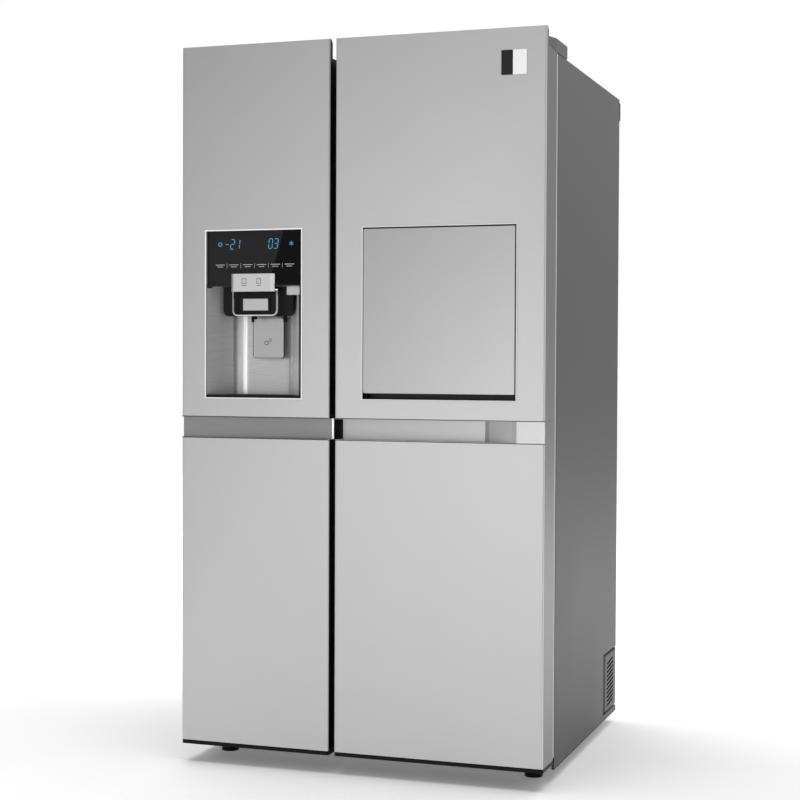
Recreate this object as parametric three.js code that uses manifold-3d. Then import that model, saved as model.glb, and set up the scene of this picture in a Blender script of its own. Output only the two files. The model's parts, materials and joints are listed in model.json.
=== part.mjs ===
// Side by side refrigerator: freezer door with an ice and water dispenser on the left,
// fridge door with a drop-down home bar on the right. Millimetres, +Z up, the front faces -Y,
// origin on the floor under the middle of the overall box.
import * as THREE from 'three';
import { mergeVertices } from 'three/addons/utils/BufferGeometryUtils.js';
import Module from 'manifold-3d';

const wasm = await Module();
wasm.setup();

// ---- driving dimensions ----
const WIDTH = 935; // over the cabinet sides and the doors
const HEIGHT = 1790; // floor to the top edge of the door fronts
const DEPTH = 858; // front rims to the wall spacers on the back
const DOOR_THICKNESS = 98; // front face to back face of a door, without gasket
const FREEZER_SHARE = 0.4316; // part of the width that the freezer door takes
const DOOR_GAP = 14; // between the two doors
const DOOR_LIP = 44; // door fronts rise this far above the cabinet top
const BAND_HEIGHT = 55; // the recessed handle band across both doors
const BAND_MIDDLE = 0.4718 * HEIGHT; // height of the middle of the band
const WINDOW_RISE = 44; // band top to the dispenser and home bar bottom edge
const WINDOW_HEIGHT = 419; // dispenser and home bar, bottom edge to top edge
const DISPENSER_WIDTH = 262;
const HOMEBAR_WIDTH = 388;
const WALL = 58; // foam wall of the cabinet, sheet to liner
const MULLION = 60; // wall between the two compartments
const MACHINE_DEPTH = 246; // machine compartment at the bottom of the back
const MACHINE_HEIGHT = 232;

// ---- sheet, moulding and fit values ----
const SHEET = 1.5; // steel sheet
const MOULDING = 2.5; // plastic wall
const FIT = 0.3; // clearance between pieces that touch on the real object
const RUNNING = 0.6; // clearance around a pin or a sliding piece
const GASKET_SPACE = 14; // door back to cabinet front
const SPACER_DEPTH = 15; // rear wall spacers
const TRIM_PROUD = 1; // rims stand this far in front of the steel door fronts
const GROUND_CLEARANCE = 30; // floor to the cabinet bottom
const CAP_HEIGHT = 10; // black strip that closes the bottom of each door
const DOOR_BOTTOM = 46;

// ---- planes that the pieces share ----
const side = WIDTH / 2;
const trimFront = -DEPTH / 2; // the dispenser rim and the home bar rim
const front = trimFront + TRIM_PROUD; // the steel door fronts
const back = DEPTH / 2;
const doorBack = front + DOOR_THICKNESS;
const cabinetFront = doorBack + GASKET_SPACE;
const cabinetBack = back - SPACER_DEPTH;
const cabinetTop = HEIGHT - DOOR_LIP;
const cabinetBottom = GROUND_CLEARANCE;
const doorTop = cabinetTop - 1;
const coreBottom = DOOR_BOTTOM + CAP_HEIGHT + FIT;
const splitX = -side + FREEZER_SHARE * WIDTH;
const bandBottom = BAND_MIDDLE - BAND_HEIGHT / 2;
const bandTop = BAND_MIDDLE + BAND_HEIGHT / 2;
const windowBottom = bandTop + WINDOW_RISE;
const windowTop = windowBottom + WINDOW_HEIGHT;
const innerSide = side - SHEET - FIT;
const machineFront = cabinetBack - MACHINE_DEPTH;
const machineTop = cabinetBottom + MACHINE_HEIGHT;

// left is the hinge side of the freezer door, right that of the fridge door
const freezerDoor = { left: -side, right: splitX - DOOR_GAP / 2, hinge: -1 };
const fridgeDoor = { left: splitX + DOOR_GAP / 2, right: side, hinge: 1 };
const HINGE_INSET = 30; // hinge axis in from the outer side of the door
const HINGE_BEHIND = 60; // hinge axis behind the door front
const hingeX = side - HINGE_INSET;
const hingeY = front + HINGE_BEHIND;

// inside faces of the two liners
const cavityBottom = cabinetBottom + 70;
const cavityTop = cabinetTop - WALL - 3;
const cavityBack = cabinetBack - WALL - 6;
const stepFront = machineFront - WALL;
const stepTop = machineTop + WALL;
const freezerCavity = { left: -side + WALL + 7, right: splitX - MULLION / 2 };
const fridgeCavity = { left: splitX + MULLION / 2, right: side - WALL + 6 };
const cavityHeight = cavityTop - cavityBottom;
const shelfFront = cabinetFront + 117; // door bins reach in this far
const evaporatorFront = cavityBack - 60; // cover that stands before the evaporator
const freezerBack = evaporatorFront - 12; // how deep shelves and drawers go
const fridgeBack = cavityBack - 14;
const level = (share) => cavityBottom + share * cavityHeight;

// ---- solids ----
function solid(geometry) {
  geometry.deleteAttribute('normal');
  geometry.deleteAttribute('uv');
  const merged = mergeVertices(geometry, 1e-4);
  const corners = merged.index.array;
  const kept = [];
  for (let i = 0; i < corners.length; i += 3) {
    const [a, b, c] = [corners[i], corners[i + 1], corners[i + 2]];
    if (a !== b && b !== c && c !== a) kept.push(a, b, c);
  }
  return new wasm.Manifold(new wasm.Mesh({
    numProp: 3,
    vertProperties: new Float32Array(merged.attributes.position.array),
    triVerts: new Uint32Array(kept),
  }));
}

function block(x, y, z) {
  const geometry = new THREE.BoxGeometry(x[1] - x[0], y[1] - y[0], z[1] - z[0]);
  geometry.translate((x[0] + x[1]) / 2, (y[0] + y[1]) / 2, (z[0] + z[1]) / 2);
  return solid(geometry);
}

function outline(points) {
  return new THREE.Shape(points.map(([u, v]) => new THREE.Vector2(u, v)));
}

// rectangle with round corners; radii run bottom left, bottom right, top right, top left
function rounded(u, v, radii) {
  const [bottomLeft, bottomRight, topRight, topLeft] = Array.isArray(radii)
    ? radii
    : [radii, radii, radii, radii];
  const shape = new THREE.Shape();
  const corner = (x, y, r, start) => {
    if (r > 0) shape.absarc(x, y, r, start, start + Math.PI / 2, false);
    else shape.lineTo(x, y);
  };
  shape.moveTo(u[0] + bottomLeft, v[0]);
  corner(u[1] - bottomRight, v[0] + bottomRight, bottomRight, -Math.PI / 2);
  corner(u[1] - topRight, v[1] - topRight, topRight, 0);
  corner(u[0] + topLeft, v[1] - topLeft, topLeft, Math.PI / 2);
  corner(u[0] + bottomLeft, v[0] + bottomLeft, bottomLeft, Math.PI);
  return shape;
}

// shape drawn in x, z and run along y
function alongY(shape, y, curveSegments = 5) {
  const depth = y[1] - y[0];
  const geometry = new THREE.ExtrudeGeometry(shape, { depth, bevelEnabled: false, curveSegments });
  geometry.rotateX(Math.PI / 2);
  geometry.translate(0, y[1], 0);
  return solid(geometry);
}

// shape drawn in x, y and run along z
function alongZ(shape, z, curveSegments = 5) {
  const depth = z[1] - z[0];
  const geometry = new THREE.ExtrudeGeometry(shape, { depth, bevelEnabled: false, curveSegments });
  geometry.translate(0, 0, z[0]);
  return solid(geometry);
}

// shape drawn in y, z and run along x
function alongX(shape, x, curveSegments = 5) {
  const depth = x[1] - x[0];
  const geometry = new THREE.ExtrudeGeometry(shape, { depth, bevelEnabled: false, curveSegments });
  geometry.rotateX(Math.PI / 2);
  geometry.rotateZ(Math.PI / 2);
  geometry.translate(x[0], 0, 0);
  return solid(geometry);
}

function rod(axis, radius, centre, reach, sides = 16) {
  const length = reach[1] - reach[0];
  const geometry = new THREE.CylinderGeometry(radius, radius, length, sides);
  const middle = (reach[0] + reach[1]) / 2;
  if (axis === 'x') {
    geometry.rotateZ(Math.PI / 2);
    geometry.translate(middle, centre[0], centre[1]);
  } else if (axis === 'y') {
    geometry.translate(centre[0], middle, centre[1]);
  } else {
    geometry.rotateX(Math.PI / 2);
    geometry.translate(centre[0], centre[1], middle);
  }
  return solid(geometry);
}

// a closed wall of the given thickness between two rectangles, run along y
function ringAlongY(x, z, thickness, y) {
  const outer = block(x, y, z);
  const inner = block(
    [x[0] + thickness, x[1] - thickness],
    [y[0] - 1, y[1] + 1],
    [z[0] + thickness, z[1] - thickness],
  );
  return outer.subtract(inner);
}

// a box with walls and a floor, open at the top
function openTray(x, y, z, wall) {
  return block(x, y, z).subtract(block(
    [x[0] + wall, x[1] - wall],
    [y[0] + wall, y[1] - wall],
    [z[0] + wall, z[1] + 1],
  ));
}

const grow = (range, by) => [range[0] - by, range[1] + by];

// ---- nodes ----
const group = new THREE.Group();
group.name = 'side_by_side_refrigerator';

const finishes = {
  steel: { color: 0xb4b6b8, roughness: 0.34, metalness: 0.9 },
  darkSteel: { color: 0x6e7072, roughness: 0.5, metalness: 0.4 },
  zinc: { color: 0x9ea2a5, roughness: 0.45, metalness: 0.8 },
  chrome: { color: 0xd8dadc, roughness: 0.12, metalness: 1 },
  white: { color: 0xe9ebeb, roughness: 0.5, metalness: 0 },
  grey: { color: 0x55585b, roughness: 0.6, metalness: 0 },
  black: { color: 0x141516, roughness: 0.5, metalness: 0 },
  glassBlack: { color: 0x07080a, roughness: 0.1, metalness: 0 },
  clear: { color: 0xc8d8e0, roughness: 0.1, metalness: 0 },
  foam: { color: 0xe0cf96, roughness: 0.9, metalness: 0 },
  rubber: { color: 0x6a6c6e, roughness: 0.8, metalness: 0 },
  silver: { color: 0xa9acae, roughness: 0.4, metalness: 0.6 },
};

function addNode(name, body, finish) {
  const mesh = body.getMesh();
  const geometry = new THREE.BufferGeometry();
  geometry.setAttribute('position', new THREE.BufferAttribute(new Float32Array(mesh.vertProperties), 3));
  geometry.setIndex(new THREE.BufferAttribute(new Uint32Array(mesh.triVerts), 1));
  geometry.computeVertexNormals();
  const node = new THREE.Mesh(geometry, new THREE.MeshStandardMaterial(finishes[finish]));
  node.name = name;
  group.add(node);
}

// ---- cabinet ----
const FLANGE = 28; // front flange of the steel wrapper
const flangeBack = cabinetFront + SHEET;
const linerFlange = [flangeBack + FIT, flangeBack + FIT + MOULDING];
const ventY = [cabinetBack - 162, cabinetBack - SHEET];
const ventZ = [cabinetBottom + 20, cabinetBottom + 178];
const VENT_REVEAL = 4;

function cabinetShell() {
  const outer = alongY(rounded([-side, side], [cabinetBottom, cabinetTop], [0, 0, 6, 6]),
    [cabinetFront, cabinetBack]);
  const hollow = block([-side + SHEET, side - SHEET], [cabinetFront - 1, cabinetBack + 1],
    [cabinetBottom - 1, cabinetTop - SHEET]);
  const flange = ringAlongY([-side + 1, side - 1], [cabinetBottom, cabinetTop - 1], FLANGE,
    [cabinetFront, flangeBack]);
  const ventOpening = block([side - 10, side + 1], [ventY[0] - VENT_REVEAL, cabinetBack + 1],
    [ventZ[0] - VENT_REVEAL, ventZ[1] + VENT_REVEAL]);
  return outer.subtract(hollow).add(flange).subtract(ventOpening);
}

const rearPanelY = [cabinetBack - SHEET - FIT, cabinetBack - FIT];

function rearPanel() {
  const sheet = block([-innerSide, innerSide], rearPanelY, [machineTop + 2, cabinetTop - SHEET - FIT]);
  const rib = (x) => block([x - 20, x + 20], [cabinetBack - 2, cabinetBack + 3],
    [machineTop + 120, cabinetTop - 120]);
  return [-0.3, 0, 0.3].reduce((body, share) => body.add(rib(share * WIDTH)), sheet);
}

// side view of a compartment: the floor steps up over the machine compartment
function compartmentProfile(y0, grown) {
  return outline([
    [y0, cavityBottom - grown],
    [stepFront + grown, cavityBottom - grown],
    [stepFront + grown, stepTop - grown],
    [cavityBack + grown, stepTop - grown],
    [cavityBack + grown, cavityTop + grown],
    [y0, cavityTop + grown],
  ]);
}

function compartmentBlock(cavity, grown, y0 = cabinetFront - 1) {
  return alongX(compartmentProfile(y0, grown), [cavity.left - grown, cavity.right + grown]);
}

const LEDGE = 8; // how far the shelf ledges stand out from the liner
const LEDGE_HEIGHT = 6;

function liner(cavity, ledgeHeights, deepBack) {
  const flange = block(
    [cavity.left - 20, cavity.right + 20],
    linerFlange,
    [cavityBottom - 20, cavityTop + 20],
  );
  let body = compartmentBlock(cavity, MOULDING, linerFlange[0]).add(flange)
    .subtract(compartmentBlock(cavity, 0));
  for (const z of ledgeHeights) {
    const floorBack = z > stepTop ? deepBack : stepFront;
    const ledge = (x) => block(x, [shelfFront + 12, floorBack - 4], [z - FIT - LEDGE_HEIGHT, z - FIT]);
    body = body.add(ledge([cavity.left - 1, cavity.left + LEDGE]));
    body = body.add(ledge([cavity.right - LEDGE, cavity.right + 1]));
  }
  return body;
}

function cabinetInsulation() {
  const foam = block([-innerSide, innerSide],
    [linerFlange[1] + FIT, rearPanelY[0] - FIT],
    [cabinetBottom + 30, cabinetTop - SHEET - FIT]);
  const machineRoom = block([-side, side], [machineFront, cabinetBack + 1],
    [cabinetBottom - 1, machineTop]);
  return foam.subtract(machineRoom)
    .subtract(compartmentBlock(freezerCavity, MOULDING + FIT))
    .subtract(compartmentBlock(fridgeCavity, MOULDING + FIT));
}

function mullionStrip() {
  const half = MULLION / 2 - 8;
  return block([splitX - half, splitX + half], [cabinetFront, flangeBack],
    [cabinetBottom + FLANGE + FIT, cabinetTop - 1 - FLANGE - FIT]);
}

// ---- base, feet, rollers and machine compartment ----
const FOOT_INSET = 62;
const footY = cabinetFront + 46;
const rollerX = side - 75;
const rollerY = cabinetBack - 90;
const ROLLER_RADIUS = 20;
const ROLLER_WIDTH = 22;
const AXLE_RADIUS = 4;
const fanX = 190;
const fanY = machineFront + MACHINE_DEPTH / 2;
const fanZ = cabinetBottom + 116;
const FAN_RADIUS = 78;

function baseFrame() {
  const plateTop = cabinetBottom + 2;
  let body = block([-innerSide, innerSide], [flangeBack + FIT, rearPanelY[0] - FIT],
    [cabinetBottom, plateTop]);
  const upstandX = [-innerSide + 30, innerSide - 30];
  const upstand = (y) => block(upstandX, [y, y + 2], [cabinetBottom, cabinetBottom + 28]);
  body = body.add(upstand(flangeBack + 8)).add(upstand(machineFront - 8));
  for (const sign of [-1, 1]) {
    const x = sign * rollerX;
    const halfSlot = ROLLER_WIDTH / 2 + 3;
    body = body.subtract(block([x - halfSlot, x + halfSlot],
      [rollerY - ROLLER_RADIUS - 6, rollerY + ROLLER_RADIUS + 6], [0, plateTop + 1]));
    body = body.subtract(rod('z', 6 + RUNNING, [sign * (side - FOOT_INSET), footY],
      [cabinetBottom - 1, plateTop + 1]));
    for (const end of [-1, 1]) {
      const inner = x + end * (ROLLER_WIDTH / 2 + 2);
      const cheek = [Math.min(inner, inner + end * 3), Math.max(inner, inner + end * 3)];
      body = body.add(block(cheek, [rollerY - 14, rollerY + 14], [ROLLER_RADIUS - 8, cabinetBottom + 8]));
    }
    body = body.add(rod('x', AXLE_RADIUS, [rollerY, ROLLER_RADIUS],
      [x - ROLLER_WIDTH / 2 - 4, x + ROLLER_WIDTH / 2 + 4]));
  }
  // post and motor that carry the condenser fan
  const post = block([fanX + 24, fanX + 36], [fanY - 12, fanY + 12], [cabinetBottom, fanZ + 12]);
  const motor = rod('x', 22, [fanY, fanZ], [fanX + 14, fanX + 50], 18);
  const shaft = rod('x', 3, [fanY, fanZ], [fanX - 8, fanX + 20], 10);
  return body.add(post).add(motor).add(shaft);
}

function frontFoot(sign) {
  const centre = [sign * (side - FOOT_INSET), footY];
  return rod('z', 22, centre, [0, 9], 24)
    .add(rod('z', 14, centre, [8, 16], 6))
    .add(rod('z', 6, centre, [10, cabinetBottom + 22]));
}

function rearRoller(sign) {
  const x = sign * rollerX;
  const reach = [x - ROLLER_WIDTH / 2, x + ROLLER_WIDTH / 2];
  return rod('x', ROLLER_RADIUS, [rollerY, ROLLER_RADIUS], reach, 32)
    .subtract(rod('x', AXLE_RADIUS + RUNNING, [rollerY, ROLLER_RADIUS], grow(reach, 1)));
}

function compressor() {
  const radius = 74;
  const bottom = cabinetBottom + 2 + FIT;
  const profile = [[0, 14], [radius - 26, 14], [radius - 8, 22], [radius, 40], [radius, 78], [radius + 4, 80],
    [radius + 4, 86], [radius, 88], [radius, 118], [radius - 12, 142], [radius - 40, 156], [0, 160]];
  const geometry = new THREE.LatheGeometry(profile.map(([r, h]) => new THREE.Vector2(r, h)), 24);
  geometry.rotateX(Math.PI / 2);
  geometry.translate(-side + 190, fanY, bottom);
  const shell = solid(geometry);
  const centre = -side + 190;
  let body = shell.add(block([centre - 88, centre + 88], [fanY - 60, fanY + 60], [bottom + 12, bottom + 17]));
  for (const sx of [-1, 1]) {
    for (const sy of [-1, 1]) {
      body = body.add(rod('z', 11, [centre + sx * 74, fanY + sy * 46], [bottom, bottom + 16], 12));
    }
  }
  return body;
}

// a stack of fins threaded on bent tube, drawn as plates on a pair of rails
function finnedCoil(x, y, z, fins) {
  const pitch = (x[1] - x[0]) / fins;
  let body = block(x, [y[0] + 8, y[0] + 16], [z[0] + 8, z[0] + 16]);
  const rails = [[y[0] + 8, z[1] - 16], [y[1] - 16, z[0] + 8], [y[1] - 16, z[1] - 16]];
  for (const [railY, railZ] of rails) {
    body = body.add(block(x, [railY, railY + 8], [railZ, railZ + 8]));
  }
  for (let i = 0; i < fins; i += 1) {
    const start = x[0] + (i + 0.35) * pitch;
    body = body.add(block([start, start + 2], y, z));
  }
  return body;
}

function condenserFan() {
  let body = rod('x', 16, [fanY, fanZ], [fanX - 10, fanX + 10], 18);
  const BLADES = 5;
  for (let i = 0; i < BLADES; i += 1) {
    const blade = new THREE.BoxGeometry(2.5, 46, FAN_RADIUS - 12);
    blade.rotateZ(0.55);
    blade.translate(0, 0, (FAN_RADIUS + 12) / 2);
    blade.rotateX((i * 2 * Math.PI) / BLADES);
    blade.translate(fanX, fanY, fanZ);
    body = body.add(solid(blade));
  }
  return body.subtract(rod('x', 3 + RUNNING, [fanY, fanZ], [fanX - 11, fanX + 11], 12));
}

function machineCover() {
  const SLOTS = 16;
  let body = block([-innerSide + 4, innerSide - 12], rearPanelY, [cabinetBottom + 4, machineTop - 1]);
  for (let row = 0; row < 2; row += 1) {
    for (let i = 0; i < SLOTS; i += 1) {
      const x = -0.36 * WIDTH + (i * 0.72 * WIDTH) / (SLOTS - 1);
      const z = cabinetBottom + 52 + row * 84;
      body = body.subtract(block([x - 4, x + 4], grow(rearPanelY, 1), [z, z + 60]));
    }
  }
  return body.subtract(rod('y', INLET_RADIUS + FIT, inletCentre, grow(rearPanelY, 1), 20));
}

// grille panel at the lower rear of the right side, with slanting slots in a rounded group
function sideVent() {
  const face = [side - 3.5, side - 0.5];
  let body = block(face, ventY, ventZ);
  body = body.add(block([side - 6.5, side - 3.4],
    [ventY[0] - 10, ventY[1] - 2], [ventZ[0] - 10, ventZ[1] + 10]));
  const SLOTS = 11;
  const PITCH = 11.5;
  const middleY = cabinetBack - 74;
  const middleZ = (ventZ[0] + ventZ[1]) / 2 - 4;
  for (let i = 0; i < SLOTS; i += 1) {
    const rise = (i - (SLOTS - 1) / 2) * PITCH;
    const half = 42 * Math.sqrt(1 - Math.min(1, Math.abs(rise) / 90) ** 4 * 0.9);
    const z = middleZ + rise;
    const slot = outline([
      [middleY - half, z - 7],
      [middleY + half, z + 1],
      [middleY + half, z + 7],
      [middleY - half, z - 1],
    ]);
    body = body.subtract(alongX(slot, [side - 8, side + 1]));
  }
  return body;
}

const INLET_RADIUS = 9;
const inletCentre = [-side + 120, cabinetBottom + 200];

function powerInlet() {
  return rod('y', INLET_RADIUS, inletCentre, [cabinetBack - 12, cabinetBack + 8], 20)
    .add(rod('y', INLET_RADIUS + 4, inletCentre, [cabinetBack, cabinetBack + 3], 20));
}

function rearSpacer(sign) {
  const x = sign > 0 ? [side - 34, side - 0.5] : [-side + 0.5, -side + 34];
  return block(x, [cabinetBack + FIT, back], [cabinetTop - 60, cabinetTop - 12]);
}

// ---- hinges ----
const PLATE = 4;
const TOP_PIN = 6;
const BOTTOM_PIN = 5;
const COVER_HEIGHT = 31;
const coverY = [hingeY - 15.5, cabinetFront + 96];
const COVER_WIDTH = 112;
const COVER_CHAMFER = { across: 16, along: 50 }; // the front outboard corner is cut off in plan

function topHinge(sign) {
  const x = sign * hingeX;
  const z = [cabinetTop + FIT, cabinetTop + FIT + PLATE];
  const plate = alongZ(rounded([x - 12, x + 12], [hingeY - 12, cabinetFront - 12], [12, 12, 0, 0]), z);
  const inboard = sign > 0 ? [x - 62, x + 12] : [x - 12, x + 62];
  return plate
    .add(block(inboard, [cabinetFront - 20, coverY[1] - 12], z))
    .add(rod('z', TOP_PIN, [x, hingeY], [doorTop - 22, z[1]], 20));
}

// plan of the cut-off corner, moved inwards by inset
function coverCorner(sign, inset) {
  const outboard = side - 1 - inset;
  const slope = COVER_CHAMFER.along / COVER_CHAMFER.across;
  return outline([
    [sign * (outboard + 1), coverY[0] + COVER_CHAMFER.along + slope],
    [sign * (outboard - COVER_CHAMFER.across - 1), coverY[0] - slope],
    [sign * (outboard + 1), coverY[0] - slope],
  ]);
}

function hingeCover(sign) {
  const x = sign > 0 ? [side - COVER_WIDTH, side - 1] : [-side + 1, -side + COVER_WIDTH];
  const z = [cabinetTop + FIT, cabinetTop + COVER_HEIGHT];
  const outer = alongX(outline([
    [coverY[0], z[0]], [coverY[1], z[0]], [coverY[1], z[1] - 3], [coverY[1] - 3, z[1]],
    [coverY[0] + 3, z[1]], [coverY[0], z[1] - 3],
  ]), x);
  const wall = 2;
  const room = block(grow(x, -wall), grow(coverY, -wall), [z[0] - 1, z[1] - wall])
    .subtract(alongZ(coverCorner(sign, wall), [z[0] - 2, z[1]]));
  return outer.subtract(alongZ(coverCorner(sign, 0), [z[0] - 1, z[1] + 1])).subtract(room);
}

function bottomHinge(sign) {
  const x = sign * hingeX;
  const plateZ = [cabinetBottom + 8, cabinetBottom + 8 + PLATE];
  const plate = alongZ(rounded([x - 14, x + 14], [hingeY - 14, cabinetFront - FIT], [14, 14, 0, 0]), plateZ);
  const leg = block([x - 24, x + 24], [cabinetFront - FIT - PLATE, cabinetFront - FIT],
    [cabinetBottom, plateZ[1]]);
  return plate.add(leg).add(rod('z', BOTTOM_PIN, [x, hingeY], [plateZ[0], coreBottom + 12], 20));
}

// ---- doors ----
const SKIN = 1.5;
const SKIN_CORNER = 5;
const coreFront = front + SKIN + FIT;
const coreSideInset = SKIN + FIT;
const GASKET_WIDTH = 14;
const DIKE_REACH = 31; // the raised rim of the door liner goes this far into the compartment
const DIKE_WIDTH = 25;

const doorDike = {
  freezer: { x: [freezerCavity.left + 8, freezerCavity.right - 11], z: [cavityBottom + 12, cavityTop - 13] },
  fridge: { x: [fridgeCavity.left + 12, fridgeCavity.right - 11], z: [cavityBottom + 12, cavityTop - 13] },
};

// the steel skin of a door: front, both full-depth sides, and a bare front where it rises as a lip
function doorSkin(door, z, lipAbove) {
  const outer = rounded([door.left, door.right], [front, doorBack],
    [SKIN_CORNER, SKIN_CORNER, 0, 0]);
  const hollow = rounded([door.left + SKIN, door.right - SKIN], [front + SKIN, doorBack + 1],
    [SKIN_CORNER - SKIN, SKIN_CORNER - SKIN, 0, 0]);
  let body = alongZ(outer, z, 3).subtract(alongZ(hollow, [z[0] - 1, z[1] + 1], 3));
  if (lipAbove) {
    const LIP_FOLD = 16;
    const LIP_SLOPE = 9;
    const behindLip = outline([
      [front + LIP_FOLD, lipAbove],
      [front + LIP_FOLD, z[1] - LIP_SLOPE],
      [front + LIP_FOLD - LIP_SLOPE, z[1]],
      [front + LIP_FOLD - LIP_SLOPE, z[1] + 1],
      [doorBack + 1, z[1] + 1],
      [doorBack + 1, lipAbove],
    ]);
    const topFold = block([door.left + 1, door.right - 1], [front + 1, front + LIP_FOLD - LIP_SLOPE],
      [z[1] - SKIN, z[1]]);
    body = body.subtract(alongX(behindLip, [door.left - 1, door.right + 1])).add(topFold);
  }
  return body;
}

function doorBlank(door, z) {
  const corner = SKIN_CORNER - SKIN;
  return alongZ(rounded([door.left + coreSideInset, door.right - coreSideInset], [coreFront, doorBack],
    [corner, corner, 0, 0]), z, 3);
}

function dikeRing(dike) {
  return ringAlongY(dike.x, dike.z, DIKE_WIDTH, [doorBack - 1, doorBack + DIKE_REACH]);
}

function pinHoles(door) {
  const x = door.hinge * hingeX;
  return rod('z', TOP_PIN + RUNNING, [x, hingeY], [doorTop - 24, doorTop + 1], 20)
    .add(rod('z', BOTTOM_PIN + RUNNING, [x, hingeY], [DOOR_BOTTOM - 1, coreBottom + 14], 20));
}

function doorBottomCap(door) {
  return alongZ(rounded([door.left + 0.5, door.right - 0.5], [front + 0.5, doorBack],
    [SKIN_CORNER, SKIN_CORNER, 0, 0]), [DOOR_BOTTOM, DOOR_BOTTOM + CAP_HEIGHT], 3)
    .subtract(pinHoles(door));
}

function doorGasket(door) {
  const hingeSide = 24;
  const freeSide = 10;
  const x = door.hinge < 0
    ? [door.left + hingeSide, door.right - freeSide]
    : [door.left + freeSide, door.right - hingeSide];
  return ringAlongY(x, [coreBottom + 8, doorTop - 14], GASKET_WIDTH,
    [doorBack + FIT, cabinetFront - 1.2]);
}

// handle band: depth of the sloping floor behind the front, at the outer side and at the gap
const FREEZER_FLOOR = { outer: 10, inner: 30 };
const FRIDGE_FLOOR = { gap: 58, beforeStep: 40, afterStep: 28 };
const homebarX = [fridgeDoor.left + 68.5, fridgeDoor.left + 68.5 + HOMEBAR_WIDTH];
const rampFoot = homebarX[1] - 88;
const RAMP_STEP = 14; // width of the steep part between the floor and the ramp

// a pan lines each pocket: floor, top and bottom wall, open to the front and to the door gap
function freezerHandlePan() {
  const shell = block([freezerDoor.left, freezerDoor.right], [front, front + FREEZER_FLOOR.inner + MOULDING],
    [bandBottom + FIT, bandTop - FIT]);
  const behind = outline([
    [freezerDoor.left - 1, front + FREEZER_FLOOR.outer + MOULDING],
    [freezerDoor.right + 1, front + FREEZER_FLOOR.inner + MOULDING],
    [freezerDoor.right + 1, front + 100],
    [freezerDoor.left - 1, front + 100],
  ]);
  const pocket = outline([
    [freezerDoor.left - 1, front - 1],
    [freezerDoor.right + 1, front - 1],
    [freezerDoor.right + 1, front + FREEZER_FLOOR.inner],
    [freezerDoor.left - 1, front + FREEZER_FLOOR.outer],
  ]);
  return shell
    .subtract(alongZ(behind, [bandBottom - 1, bandTop + 1]))
    .subtract(alongZ(pocket, [bandBottom + MOULDING, bandTop - MOULDING]));
}

function fridgeHandlePan() {
  const pocket = alongZ(outline([
    [fridgeDoor.left - 1, front - 1],
    [homebarX[1], front - 1],
    [homebarX[1], front],
    [rampFoot + RAMP_STEP, front + FRIDGE_FLOOR.afterStep],
    [rampFoot, front + FRIDGE_FLOOR.beforeStep],
    [fridgeDoor.left - 1, front + FRIDGE_FLOOR.gap],
  ]), [bandBottom + MOULDING, bandTop - MOULDING]);
  const shell = alongZ(outline([
    [fridgeDoor.left, front],
    [fridgeDoor.right, front],
    [fridgeDoor.right, front + MOULDING],
    [homebarX[1] + MOULDING, front + MOULDING],
    [rampFoot + RAMP_STEP + MOULDING, front + FRIDGE_FLOOR.afterStep + MOULDING],
    [rampFoot + MOULDING, front + FRIDGE_FLOOR.beforeStep + MOULDING],
    [fridgeDoor.left, front + FRIDGE_FLOOR.gap + MOULDING],
  ]), [bandBottom + FIT, bandTop - FIT]);
  return shell.subtract(pocket);
}

// space that the handle pans take out of the door cores
function bandCut(door) {
  const behind = front + MOULDING + FIT + 0.4;
  const floorPoints = door.hinge < 0
    ? [[door.right + 1, behind + FREEZER_FLOOR.inner], [door.left - 1, behind + FREEZER_FLOOR.outer]]
    : [
      [door.right + 1, behind],
      [homebarX[1] + MOULDING + 1.7, behind],
      [rampFoot + RAMP_STEP + MOULDING + 1.7, behind + FRIDGE_FLOOR.afterStep],
      [rampFoot + MOULDING + 1.7, behind + FRIDGE_FLOOR.beforeStep],
      [door.left - 1, behind + FRIDGE_FLOOR.gap],
    ];
  return alongZ(outline([[door.left - 1, front - 1], [door.right + 1, front - 1], ...floorPoints]),
    [bandBottom, bandTop]);
}

// ---- dispenser ----
const dispenserX = [freezerDoor.left + 63, freezerDoor.left + 63 + DISPENSER_WIDTH];
const dispenserMiddle = (dispenserX[0] + dispenserX[1]) / 2;
const DISPLAY_HEIGHT = 138;
const displayBottom = windowTop - DISPLAY_HEIGHT;
const RIM = 3;
// x at a share of the dispenser width away from its middle
const acrossDispenser = (...shares) => shares.map((share) => dispenserMiddle + share * DISPENSER_WIDTH);
const iceDuctX = acrossDispenser(-0.084, 0.183);
const ALCOVE_DEPTH = 90;
const ALCOVE_SLANT = 0.198 * DISPENSER_WIDTH; // how far each side wall leans in from the front to the back
const ALCOVE_CORNER = 26;

// plan of the alcove, open to the front; grown pushes every wall out
function alcovePlan(grown, y0) {
  const [left, right] = [dispenserX[0] + RIM - grown, dispenserX[1] - RIM + grown];
  const rear = front + ALCOVE_DEPTH + grown;
  const shape = new THREE.Shape();
  shape.moveTo(left, y0);
  shape.lineTo(right, y0);
  shape.lineTo(right, front + 4);
  shape.lineTo(right - ALCOVE_SLANT + 6, rear - ALCOVE_CORNER);
  shape.quadraticCurveTo(right - ALCOVE_SLANT, rear, right - ALCOVE_SLANT - ALCOVE_CORNER, rear);
  shape.lineTo(left + ALCOVE_SLANT + ALCOVE_CORNER, rear);
  shape.quadraticCurveTo(left + ALCOVE_SLANT, rear, left + ALCOVE_SLANT - 6, rear - ALCOVE_CORNER);
  shape.lineTo(left, front + 4);
  return shape;
}

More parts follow.
